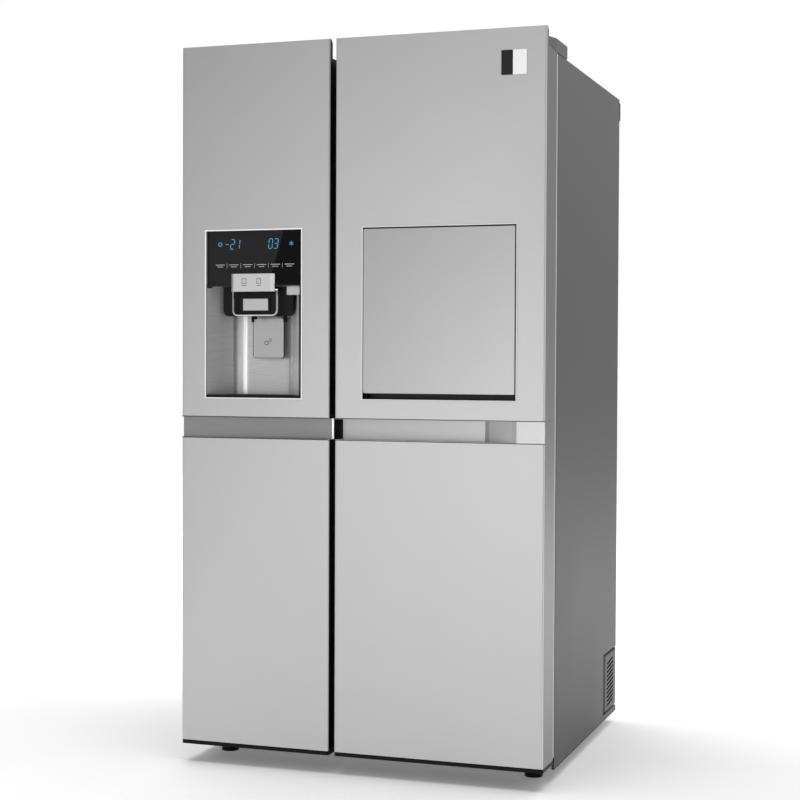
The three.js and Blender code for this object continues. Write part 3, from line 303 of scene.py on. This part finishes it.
def vent_grille():
    """Grey plate with painted shade: everything behind its face is black, and so are bands along its front
    and top edges.
    """
    finish = Finish("vent_grille", grey(112), grey(120), (0.5, 0.6))
    finish.bump(finish.noise(scale=1100, detail=3), 0.2, 0.0004)
    low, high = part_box("side_vent")
    # Painted shade: the slots and everything behind the face are made near black.
    finish.recolour(finish.along(TO_LEFT, 0.0002 - high.x, 0.0004 - high.x), grey(3))
    # Painted shade: black bands over the front edge and along the top, where the panel sits recessed.
    finish.recolour(finish.along(TO_FRONT, -low.y - 0.036, -low.y - 0.035), grey(5))
    finish.recolour(finish.along(Z, high.z - 0.016, high.z - 0.015), grey(5))
    finish.dull(0.2)
    return finish.material


def key_block_metal():
    """Bright satin block with a painted highlight on its right-hand bevel."""
    finish = Finish("key_block_metal", grey(186), grey(194), (0.26, 0.34), metallic=0.3)
    finish.bump(finish.noise(scale=1.0, detail=6, stretch=(20, 20, 1200)), 0.08, 0.0004)
    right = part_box("dispenser_key_block")[1].x
    # Painted highlight: the right-hand bevel is made white.
    finish.recolour(finish.along(X, right - 0.0085, right - 0.0078), grey(255))
    return finish.material


def lever_pad():
    finish = Finish("lever_pad", grey(158), grey(166), (0.3, 0.38), metallic=0.6)
    grain = finish.noise(scale=1.0, detail=5, stretch=(900, 20, 20))
    finish.bump(grain, 0.12, 0.0003)
    return finish.material


def grey_plastic():
    finish = Finish("grey_plastic", grey(112), grey(120), (0.5, 0.6))
    finish.bump(finish.noise(scale=1100, detail=3), 0.2, 0.0004)
    return finish.material


def black_plastic():
    finish = Finish("black_plastic", grey(4), grey(8), (0.36, 0.5))
    finish.bump(finish.noise(scale=1000, detail=3), 0.15, 0.0003)
    finish.dull(0.15)
    return finish.material


def black_steel():
    finish = Finish("black_steel", grey(10), grey(16), (0.32, 0.44))
    finish.bump(finish.noise(scale=240, detail=3), 0.1, 0.0004)
    finish.dull(0.3)
    return finish.material


def coil_aluminium():
    finish = Finish("coil_aluminium", grey(178), grey(196), (0.3, 0.45), metallic=0.9)
    finish.bump(finish.noise(scale=500), 0.15, 0.0003)
    return finish.material


def clear_plastic():
    finish = Finish("clear_plastic", grey(232, (0.96, 1, 1)), grey(240, (0.97, 1, 1)), (0.06, 0.14))
    finish.shader.inputs["Transmission Weight"].default_value = 0.82
    finish.shader.inputs["IOR"].default_value = 1.45
    finish.bump(finish.noise(scale=60, detail=2), 0.05, 0.0005)
    return finish.material


def shelf_glass():
    finish = Finish("shelf_glass", grey(225, (0.9, 1, 0.96)), grey(235, (0.92, 1, 0.97)), (0.03, 0.07))
    finish.shader.inputs["Transmission Weight"].default_value = 0.88
    finish.shader.inputs["IOR"].default_value = 1.5
    return finish.material


def gasket_rubber():
    finish = Finish("gasket_rubber", grey(226), grey(234), (0.6, 0.75))
    ribs = finish.tree.nodes.new("ShaderNodeTexWave")
    ribs.bands_direction = "Y"
    ribs.inputs["Scale"].default_value = 90
    finish.tree.links.new(finish.place, ribs.inputs["Vector"])
    finish.bump(ribs.outputs["Fac"], 0.3, 0.0006)
    return finish.material


def display_glass():
    """Smoked glass with a painted reflection: a slanted, slightly lighter zone over its left part."""
    finish = Finish("display_glass", grey(2), grey(4), (0.06, 0.12))
    finish.dull(0.06)
    low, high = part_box("dispenser_display")
    slant = 0.28
    edge = slant * high.z - (low.x + 0.804 * (high.x - low.x))
    # Painted reflection: the slanted lighter zone over the left part.
    finish.recolour(finish.along((-1, 0, slant), edge, edge + 0.002), grey(36))
    finish.bump(finish.noise(scale=12, detail=1), 0.02, 0.0005)
    return finish.material


def chrome():
    finish = Finish("chrome", grey(226), grey(236), (0.06, 0.14), metallic=1.0)
    finish.bump(finish.noise(scale=180, detail=2), 0.03, 0.0003)
    return finish.material


def dark_gap():
    finish = Finish("dark_gap", grey(5), grey(9), (0.7, 0.85))
    finish.bump(finish.noise(scale=400), 0.1, 0.0003)
    finish.dull(0.2)
    return finish.material


def blue_light(name="blue_light", strength=0.75):
    finish = Finish(name, grey(90, (0.1, 0.6, 1)), grey(120, (0.1, 0.6, 1)), (0.2, 0.3))
    glow = finish.ramp(finish.noise(scale=500), (0.03, 0.32, 0.62, 1), (0.08, 0.45, 0.75, 1))
    finish.tree.links.new(glow, finish.shader.inputs["Emission Color"])
    finish.shader.inputs["Emission Strength"].default_value = strength
    return finish.material


def lamp_light():
    finish = Finish("lamp_light", grey(240), grey(250), (0.3, 0.4))
    glow = finish.ramp(finish.noise(scale=200), (0.9, 0.95, 1.0, 1), (1.0, 1.0, 1.0, 1))
    finish.tree.links.new(glow, finish.shader.inputs["Emission Color"])
    finish.shader.inputs["Emission Strength"].default_value = 1.2
    return finish.material


def print_ink():
    finish = Finish("print_ink", grey(190), grey(210), (0.4, 0.5))
    finish.bump(finish.noise(scale=800), 0.05, 0.0002)
    return finish.material


def badge_metal():
    """Polished plate; the badge's darker left part is a separate piece."""
    finish = Finish("badge_metal", grey(205), grey(215), (0.1, 0.2), metallic=0.9)
    finish.bump(finish.noise(scale=300, detail=2), 0.03, 0.0002)
    return finish.material


MATERIALS = {
    "steel_front": front_steel("front_steel", ((0.21, 0, -0.144), -0.36, -0.14, 0.64)),
    "side_paint": side_paint(),
    "zinc_steel": zinc_steel(),
    "white_plastic": white_plastic(),
    "foam": foam(),
    "silver_trim": silver_trim(),
    "grey_plastic": grey_plastic(),
    "black_plastic": black_plastic(),
    "black_steel": black_steel(),
    "coil_aluminium": coil_aluminium(),
    "clear_plastic": clear_plastic(),
    "shelf_glass": shelf_glass(),
    "gasket_rubber": gasket_rubber(),
    "display_glass": display_glass(),
    "chrome_wire": chrome(),
}
SPECIAL = {
    # A copy of the front steel with its own painted shade drift and painted gap shade round the home bar
    # flap.
    "homebar_door": front_steel("homebar_steel", ((0.21, 0, -0.144), -0.215, -0.05, 0.62), "homebar_door"),
    "dispenser_alcove": brushed_alcove(),
    "ice_lever": lever_pad(),
    "homebar_case": homebar_lining(),
    "side_vent": vent_grille(),
    "dispenser_key_block": key_block_metal(),
    # The two pans are the same steel; the freezer pan's darker tone is painted shade.
    "freezer_handle_pan": band_steel("freezer_handle_pan", 144, (0.75, 0.72), 1.0),
    "fridge_handle_pan": band_steel("fridge_handle_pan", 212, (0.78, 0.76), 0.68),
}
GAP = dark_gap()
BLUE = blue_light()
LAMP = lamp_light()
INK = print_ink()
BADGE = badge_metal()


# ---------------------------------------------------------------- CAD nodes
BEVEL_WIDTHS = {
    "steel_front": 0.0012,
    "side_paint": 0.0008,
    "clear_plastic": 0.0009,
    "white_plastic": 0.0009,
    "grey_plastic": 0.0015,
    "black_plastic": 0.0008,
    "silver_trim": 0.0006,
}
SHARP_NODES = ("side_vent",)  # thin plate with slots closer together than two bevels


def soften(obj, width, segments=2):
    modifier = obj.modifiers.new("edge", "BEVEL")
    modifier.width = width
    modifier.segments = segments
    modifier.limit_method = "ANGLE"
    modifier.angle_limit = math.radians(35)
    modifier.use_clamp_overlap = True
    modifier.harden_normals = True


def dress_cad_nodes():
    for entry in frame["record"]["subparts"]:
        obj = nodes[entry["node"]]
        slot = entry["material_slot"]
        obj.data.materials.clear()
        obj.data.materials.append(SPECIAL.get(entry["node"], MATERIALS[slot]))
        if slot in BEVEL_WIDTHS and entry["node"] not in SHARP_NODES:
            soften(obj, BEVEL_WIDTHS[slot])


# ---------------------------------------------------------------- piece makers
def add_piece(name, mesh_maker, material, body):
    mesh = bpy.data.meshes.new(name)
    shape = bmesh.new()
    mesh_maker(shape)
    bmesh.ops.recalc_face_normals(shape, faces=shape.faces)
    shape.to_mesh(mesh)
    shape.free()
    mesh.materials.append(material)
    obj = bpy.data.objects.new(name, mesh)
    bpy.context.collection.objects.link(obj)
    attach(obj, body)
    return obj


def slab(shape, low, high, radius=0.0, segments=2):
    """Adds a block between two corners, with every edge rounded."""
    made = bmesh.ops.create_cube(shape, size=1.0)["verts"]
    low, high = Vector(low), Vector(high)
    for vertex in made:
        vertex.co = Vector(
            (low[i] + (vertex.co[i] + 0.5) * (high[i] - low[i])) for i in range(3)
        )
    if radius > 0:
        edges = list({edge for vertex in made for edge in vertex.link_edges})
        bmesh.ops.bevel(shape, geom=edges, offset=radius, segments=segments, profile=0.6, affect="EDGES")


def plate_xz(shape, outline, front_y, back_y):
    """Adds a flat plate whose outline is drawn in x and z."""
    front = [shape.verts.new((x, front_y, z)) for x, z in outline]
    rear = [shape.verts.new((x, back_y, z)) for x, z in outline]
    shape.faces.new(front)
    shape.faces.new(rear[::-1])
    count = len(outline)
    for i in range(count):
        j = (i + 1) % count
        shape.faces.new((front[j], front[i], rear[i], rear[j]))


def stroke(shape, start, end, width, front_y, back_y):
    """Adds a straight bar from start to end in x and z."""
    along = Vector((end[0] - start[0], end[1] - start[1])).normalized()
    across = Vector((-along.y, along.x)) * width / 2
    corners = [
        (start[0] + across.x, start[1] + across.y),
        (start[0] - across.x, start[1] - across.y),
        (end[0] - across.x, end[1] - across.y),
        (end[0] + across.x, end[1] + across.y),
    ]
    plate_xz(shape, corners, front_y, back_y)


def ring_xz(shape, centre, outer, inner, front_y, back_y, sides=20):
    for i in range(sides):
        a, b = 2 * math.pi * i / sides, 2 * math.pi * (i + 1) / sides
        quad = [
            (centre[0] + outer * math.cos(a), centre[1] + outer * math.sin(a)),
            (centre[0] + outer * math.cos(b), centre[1] + outer * math.sin(b)),
            (centre[0] + inner * math.cos(b), centre[1] + inner * math.sin(b)),
            (centre[0] + inner * math.cos(a), centre[1] + inner * math.sin(a)),
        ]
        plate_xz(shape, quad, front_y, back_y)


# ---------------------------------------------------------------- dispenser fittings
PRINT = 0.0003  # thickness of figures and marks on a face
PAD_PRINT = 0.0004
SEGMENTS = {
    "top": ((0, 2), (1, 2)),
    "middle": ((0, 1), (1, 1)),
    "bottom": ((0, 0), (1, 0)),
    "upper_left": ((0, 1), (0, 2)),
    "upper_right": ((1, 1), (1, 2)),
    "lower_left": ((0, 0), (0, 1)),
    "lower_right": ((1, 0), (1, 1)),
}
GLYPHS = {
    "-": ["middle"],
    "0": ["top", "bottom", "upper_left", "upper_right", "lower_left", "lower_right"],
    "1": ["upper_right", "lower_right"],
    "2": ["top", "middle", "bottom", "upper_right", "lower_left"],
    "3": ["top", "middle", "bottom", "upper_right", "lower_right"],
}


def segment_digits(shape, text, left, bottom, height, front_y):
    """Adds seven-segment figures that lean a little, as on a lit display."""
    cell = height / 2
    width = cell * 0.82
    lean = 0.12
    for place, glyph in enumerate(text):
        start_x = left + place * width * 1.5
        for name in GLYPHS[glyph]:
            ends = []
            for column, row in SEGMENTS[name]:
                z = bottom + row * cell
                ends.append(Vector((start_x + column * width + lean * (z - bottom), z)))
            along = (ends[1] - ends[0]).normalized()
            trim = height * 0.055
            start, end = ends[0] + along * trim, ends[1] - along * trim
            stroke(shape, start, end, height * 0.075, front_y, front_y + PRINT)


def display_fittings():
    low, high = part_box("dispenser_display")
    face = low.y - 0.0004
    width = high.x - low.x
    digit_z = high.z - 0.0445
    digit_height = 0.0235

    def digits(shape):
        segment_digits(shape, "-21", low.x + 0.185 * width, digit_z, digit_height, face)
        segment_digits(shape, "03", low.x + 0.645 * width, digit_z, digit_height, face)

    def symbols(shape):
        left = (low.x + 0.135 * width, digit_z + digit_height / 2)
        ring_xz(shape, left, 0.0052, 0.0036, face, face + PRINT, 14)
        right = (low.x + 0.885 * width, digit_z + digit_height / 2)
        for turn in range(3):
            angle = turn * math.pi / 3 + math.pi / 6
            reach = Vector((math.cos(angle), math.sin(angle))) * 0.006
            stroke(shape, (right[0] - reach.x, right[1] - reach.y), (right[0] + reach.x, right[1] + reach.y),
                   0.0012, face, face + PRINT)

    def key_marks(shape):
        count = 6
        for i in range(count):
            centre = low.x + width * (0.135 + 0.73 * i / (count - 1))
            for row, share in ((0.0505, 1.0), (0.0455, 0.6)):
                half = 0.0125 * share
                stroke(shape, (centre - half, low.z + row), (centre + half, low.z + row), 0.0014,
                       face, face + PRINT)
            if i < count - 1:
                divider = centre + width * 0.073
                stroke(shape, (divider, low.z + 0.042), (divider, low.z + 0.054), 0.0006,
                       face, face + PRINT)

    add_piece("display_digits", digits, BLUE, "freezer_door")
    add_piece("display_symbols", symbols, BLUE, "freezer_door")
    add_piece("display_key_marks", key_marks, INK, "freezer_door")


def key_block_marks():
    low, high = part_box("dispenser_key_block")
    face = low.y - 0.0003
    middle_z = (low.z + high.z) / 2 + 0.003

    def marks(shape):
        for share in (0.32, 0.66):
            x = low.x + share * (high.x - low.x)
            corners = [(x - 0.006, middle_z - 0.005), (x + 0.006, middle_z - 0.005),
                       (x + 0.0045, middle_z + 0.007), (x - 0.0045, middle_z + 0.007)]
            for i in range(4):
                stroke(shape, corners[i], corners[(i + 1) % 4], 0.001, face, face + PRINT)
            stroke(shape, (x - 0.006, middle_z - 0.010), (x + 0.006, middle_z - 0.010), 0.0012,
                   face, face + PRINT)

    add_piece("key_block_marks", marks, GAP, "freezer_door")


def alcove_fittings():
    low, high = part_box("dispenser_spout")
    middle = (low.x + high.x) / 2
    hood_front = low.y + 0.02

    alcove_low, alcove_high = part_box("dispenser_alcove")

    def lamp(shape):
        slab(shape, (alcove_high.x - 0.052, hood_front - 0.006, high.z - 0.022),
             (alcove_high.x - 0.014, hood_front + 0.012, high.z + 0.001), 0.003, 3)

    def water_plate(shape):
        slab(shape, (middle - 0.038, hood_front - 0.0077, low.z + 0.027),
             (middle + 0.031, hood_front + 0.001, low.z + 0.058), 0.003, 3)

    add_piece("dispenser_lamp_housing", lamp, MATERIALS["silver_trim"], "freezer_door")
    add_piece("water_nozzle_plate", water_plate, MATERIALS["silver_trim"], "freezer_door")

    pad_low, pad_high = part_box("ice_lever")
    face = pad_low.y - 0.0002

    def pad_border(shape):
        inset = 0.0022
        x = (pad_low.x + inset, pad_high.x - inset)
        z = (pad_low.z + inset, pad_high.z - inset)
        radius = 0.007
        points = []
        for centre, start in (
            ((x[1] - radius, z[1] - radius), 0),
            ((x[0] + radius, z[1] - radius), 1),
            ((x[0] + radius, z[0] + radius), 2),
            ((x[1] - radius, z[0] + radius), 3),
        ):
            for step in range(5):
                angle = (start + step / 4) * math.pi / 2
                points.append((centre[0] + radius * math.cos(angle), centre[1] + radius * math.sin(angle)))
        for i, point in enumerate(points):
            stroke(shape, point, points[(i + 1) % len(points)], 0.0013, face, face + PAD_PRINT)

    def pad_symbol(shape):
        centre = ((pad_low.x + pad_high.x) / 2 - 0.006, (pad_low.z + pad_high.z) / 2 - 0.012)
        ring_xz(shape, centre, 0.0055, 0.0042, face, face + PAD_PRINT, 14)
        ring_xz(shape, (centre[0] + 0.010, centre[1] + 0.007), 0.004, 0.0029, face, face + PAD_PRINT, 12)

    add_piece("ice_lever_border", pad_border, GAP, "ice_lever")
    add_piece("ice_lever_symbol", pad_symbol, GAP, "ice_lever")


def badge():
    """Blank polished plate at the top of the fridge door, with a darker left part."""
    low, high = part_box("fridge_panel_upper")
    face = low.y
    right, top = high.x - 0.048, high.z - 0.052
    left, bottom = right - 0.062, top - 0.058
    split = left + 0.028

    def bright(shape):
        slab(shape, (split, face - 0.0009, bottom), (right, face + 0.0002, top), 0.0003, 1)

    def dark(shape):
        slab(shape, (left, face - 0.0009, bottom), (split, face + 0.0002, top), 0.0003, 1)

    add_piece("badge_plate_bright", bright, BADGE, "fridge_door")
    add_piece("badge_plate_dark", dark, MATERIALS["black_steel"], "fridge_door")


# ---------------------------------------------------------------- outside fittings
def screw_head(shape, centre, axis, radius=0.0045, height=0.002):
    """Adds a low domed head standing on the face whose outward normal is axis."""
    made = bmesh.ops.create_cone(shape, cap_ends=True, segments=16, radius1=radius, radius2=radius * 0.7,
                                 depth=height)["verts"]
    turn = Vector((0, 0, 1)).rotation_difference(Vector(axis)).to_matrix().to_4x4()
    place = Matrix.Translation(Vector(centre) + Vector(axis) * height / 2) @ turn
    bmesh.ops.transform(shape, matrix=place, verts=made)


def cabinet_edge_strips():
    """Pale edge strips of the cabinet front, seen between the doors and the cabinet sides."""
    shell_low, shell_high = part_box("cabinet_shell")
    for name, sign in (("left", -1), ("right", 1)):
        outer = shell_high.x if sign > 0 else shell_low.x
        across = sorted((outer - sign * 0.0012, outer - sign * 0.0045))

        def strip(shape):
            slab(shape, (across[0], shell_low.y - 0.0098, shell_low.z + 0.03),
                 (across[1], shell_low.y - 0.0003, shell_high.z - 0.004), 0.001, 2)

        add_piece(f"cabinet_edge_{name}", strip, MATERIALS["gasket_rubber"], "cabinet")


def outside_screws():
    def heads(shape):
        for name in ("hinge_cover_left", "hinge_cover_right"):
            low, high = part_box(name)
            for share in (0.25, 0.8):
                centre = ((low.x + high.x) / 2, low.y + share * (high.y - low.y), high.z)
                screw_head(shape, centre, Z)
        low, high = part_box("machine_cover")
        for i in range(6):
            x = low.x + 0.02 + i * (high.x - low.x - 0.04) / 5
            screw_head(shape, (x, high.y, high.z - 0.012), Y, 0.004, 0.0018)
            screw_head(shape, (x, high.y, low.z + 0.012), Y, 0.004, 0.0018)
        low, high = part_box("rear_panel")
        for i in range(7):
            z = low.z + 0.05 + i * (high.z - low.z - 0.1) / 6
            for x in (low.x + 0.014, high.x - 0.014):
                screw_head(shape, (x, high.y - 0.0033, z), Y, 0.004, 0.0018)

    add_piece("cover_screws", heads, MATERIALS["zinc_steel"], "cabinet")


# ---------------------------------------------------------------- inside fittings
def tray(shape, low, high, wall):
    """Adds an open-topped box with rounded walls."""
    slab(shape, low, (high[0], high[1], low[2] + wall), wall * 0.3, 1)
    slab(shape, low, (low[0] + wall, high[1], high[2]), wall * 0.3, 1)
    slab(shape, (high[0] - wall, low[1], low[2]), high, wall * 0.3, 1)
    slab(shape, low, (high[0], low[1] + wall, high[2]), wall * 0.3, 1)
    slab(shape, (low[0], high[1] - wall, low[2]), high, wall * 0.3, 1)


def inside_fittings():
    clear = MATERIALS["clear_plastic"]
    bin_low, bin_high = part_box("fridge_door_bin")
    for number, drop in enumerate((0.86, 1.13)):
        def door_bin(shape):
            tray(shape, (bin_low.x, bin_low.y, bin_low.z - drop),
                 (bin_high.x, bin_high.y, bin_high.z - drop + 0.02), 0.0025)

        add_piece(f"fridge_door_bin_low_{number + 1}", door_bin, clear, "fridge_door")

    for name, body in (("fridge_door_bin", "fridge_door"), ("freezer_door_bin_upper", "freezer_door"),
                       ("freezer_door_bin_lower", "freezer_door")):
        low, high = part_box(name)

        def rail(shape):
            slab(shape, (low.x + 0.004, high.y - 0.0012, high.z - 0.006),
                 (high.x - 0.004, high.y + 0.0018, high.z - 0.001), 0.0008, 2)

        add_piece(f"{name}_rail", rail, MATERIALS["chrome_wire"], body)

    for name in ("freezer_shelf", "fridge_shelf_upper", "fridge_shelf_lower"):
        low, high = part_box(name)

        def trim(shape):
            slab(shape, (low.x + 0.001, low.y - 0.0012, low.z + 0.003),
                 (high.x - 0.001, low.y + 0.001, high.z - 0.003), 0.0008, 2)

        add_piece(f"{name}_trim", trim, MATERIALS["silver_trim"], "cabinet")

    low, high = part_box("fridge_liner")
    wall = 0.0025
    inner_left, inner_right = low.x + 0.022, high.x - 0.022
    centre = (inner_left + inner_right) / 2
    back = high.y - wall

    def duct(shape):
        slab(shape, (centre - 0.09, back - 0.011, 0.78), (centre + 0.09, back - 0.0005, 1.62), 0.004, 3)

    # Painted shade: dark slabs stand for the shaded openings of the duct slots.
    def duct_slots(shape):
        for z in (0.9, 1.12, 1.24, 1.42, 1.54):
            for side in (-1, 1):
                x = centre + side * 0.045
                slab(shape, (x - 0.03, back - 0.0118, z), (x + 0.03, back - 0.0105, z + 0.008), 0.0005, 1)

    def roof_lamp(shape):
        slab(shape, (centre - 0.07, 0.02, high.z - 0.0345), (centre + 0.07, 0.16, high.z - 0.0228), 0.004, 3)

    add_piece("fridge_air_duct", duct, MATERIALS["white_plastic"], "cabinet")
    add_piece("fridge_duct_slots", duct_slots, GAP, "cabinet")
    add_piece("fridge_roof_lamp", roof_lamp, LAMP, "cabinet")


# ---------------------------------------------------------------- stage
ROOM_TONE = 0.34
BACKDROP_TONE = 1.0


def soft_light(name, place, aim, size, power, colour=(1, 1, 1)):
    data = bpy.data.lights.new(name, "AREA")
    data.shape = "RECTANGLE"
    data.size, data.size_y = size
    data.energy = power
    data.color = colour
    lamp = bpy.data.objects.new(name, data)
    lamp.location = place
    lamp.rotation_euler = (Vector(aim) - Vector(place)).to_track_quat("-Z", "Y").to_euler()
    bpy.context.collection.objects.link(lamp)
    return lamp


def studio():
    world = bpy.data.worlds.new("studio")
    world.use_nodes = True
    tree = world.node_tree
    ray = tree.nodes.new("ShaderNodeLightPath")
    tone = tree.nodes.new("ShaderNodeValToRGB")
    tone.color_ramp.elements[0].color = (ROOM_TONE, ROOM_TONE, ROOM_TONE, 1)
    tone.color_ramp.elements[1].color = (BACKDROP_TONE, BACKDROP_TONE, BACKDROP_TONE, 1)
    tree.links.new(ray.outputs["Is Camera Ray"], tone.inputs["Fac"])
    tree.links.new(tone.outputs["Color"], tree.nodes["Background"].inputs["Color"])
    bpy.context.scene.world = world

    finish = Finish("floor_paper", grey(250), grey(252), (0.7, 0.8))
    finish.bump(finish.noise(scale=30), 0.02, 0.001)
    glow = finish.ramp(finish.along(Y, 0.0, 3.2), (0.12, 0.12, 0.12, 1), (0.75, 0.75, 0.75, 1), 0.0, 1.0)
    finish.tree.links.new(glow, finish.shader.inputs["Emission Color"])
    finish.shader.inputs["Emission Strength"].default_value = 1.0
    mesh = bpy.data.meshes.new("floor")
    half = 9.0
    corners = [(-half, -half, 0), (half, -half, 0), (half, half, 0), (-half, half, 0)]
    mesh.from_pydata(corners, [], [(0, 1, 2, 3)])
    mesh.materials.append(finish.material)
    floor = bpy.data.objects.new("floor", mesh)
    bpy.context.collection.objects.link(floor)

    soft_light("front_left", (-1.8, -4.4, 1.7), (0, 0, 0.9), (3.2, 2.6), 29)
    soft_light("front_low", (-0.3, -4.8, 0.5), (0, 0, 0.6), (1.4, 1.0), 18)
    soft_light("top", (0.0, 0.4, 4.6), (0, 0, 0.8), (6.0, 6.0), 230)


def camera():
    """Viewpoint at mid height, to the right of the front, looking slightly down."""
    data = bpy.data.cameras.new("camera")
    data.sensor_width = 36
    data.lens = 74.67
    obj = bpy.data.objects.new("camera", data)
    turn = Matrix.Rotation(0.3298, 4, "Z") @ Matrix.Rotation(math.pi / 2 - 0.0237, 4, "X")
    turn = turn @ Matrix.Rotation(0.0041, 4, "Z")
    obj.matrix_world = Matrix.Translation((1.3982, FRONT_Y - 3.7617, 1.0118)) @ turn
    bpy.context.collection.objects.link(obj)
    bpy.context.scene.camera = obj


dress_cad_nodes()
display_fittings()
key_block_marks()
alcove_fittings()
badge()
outside_screws()
cabinet_edge_strips()
inside_fittings()
studio()
camera()
bpy.context.scene.view_settings.view_transform = "Standard"
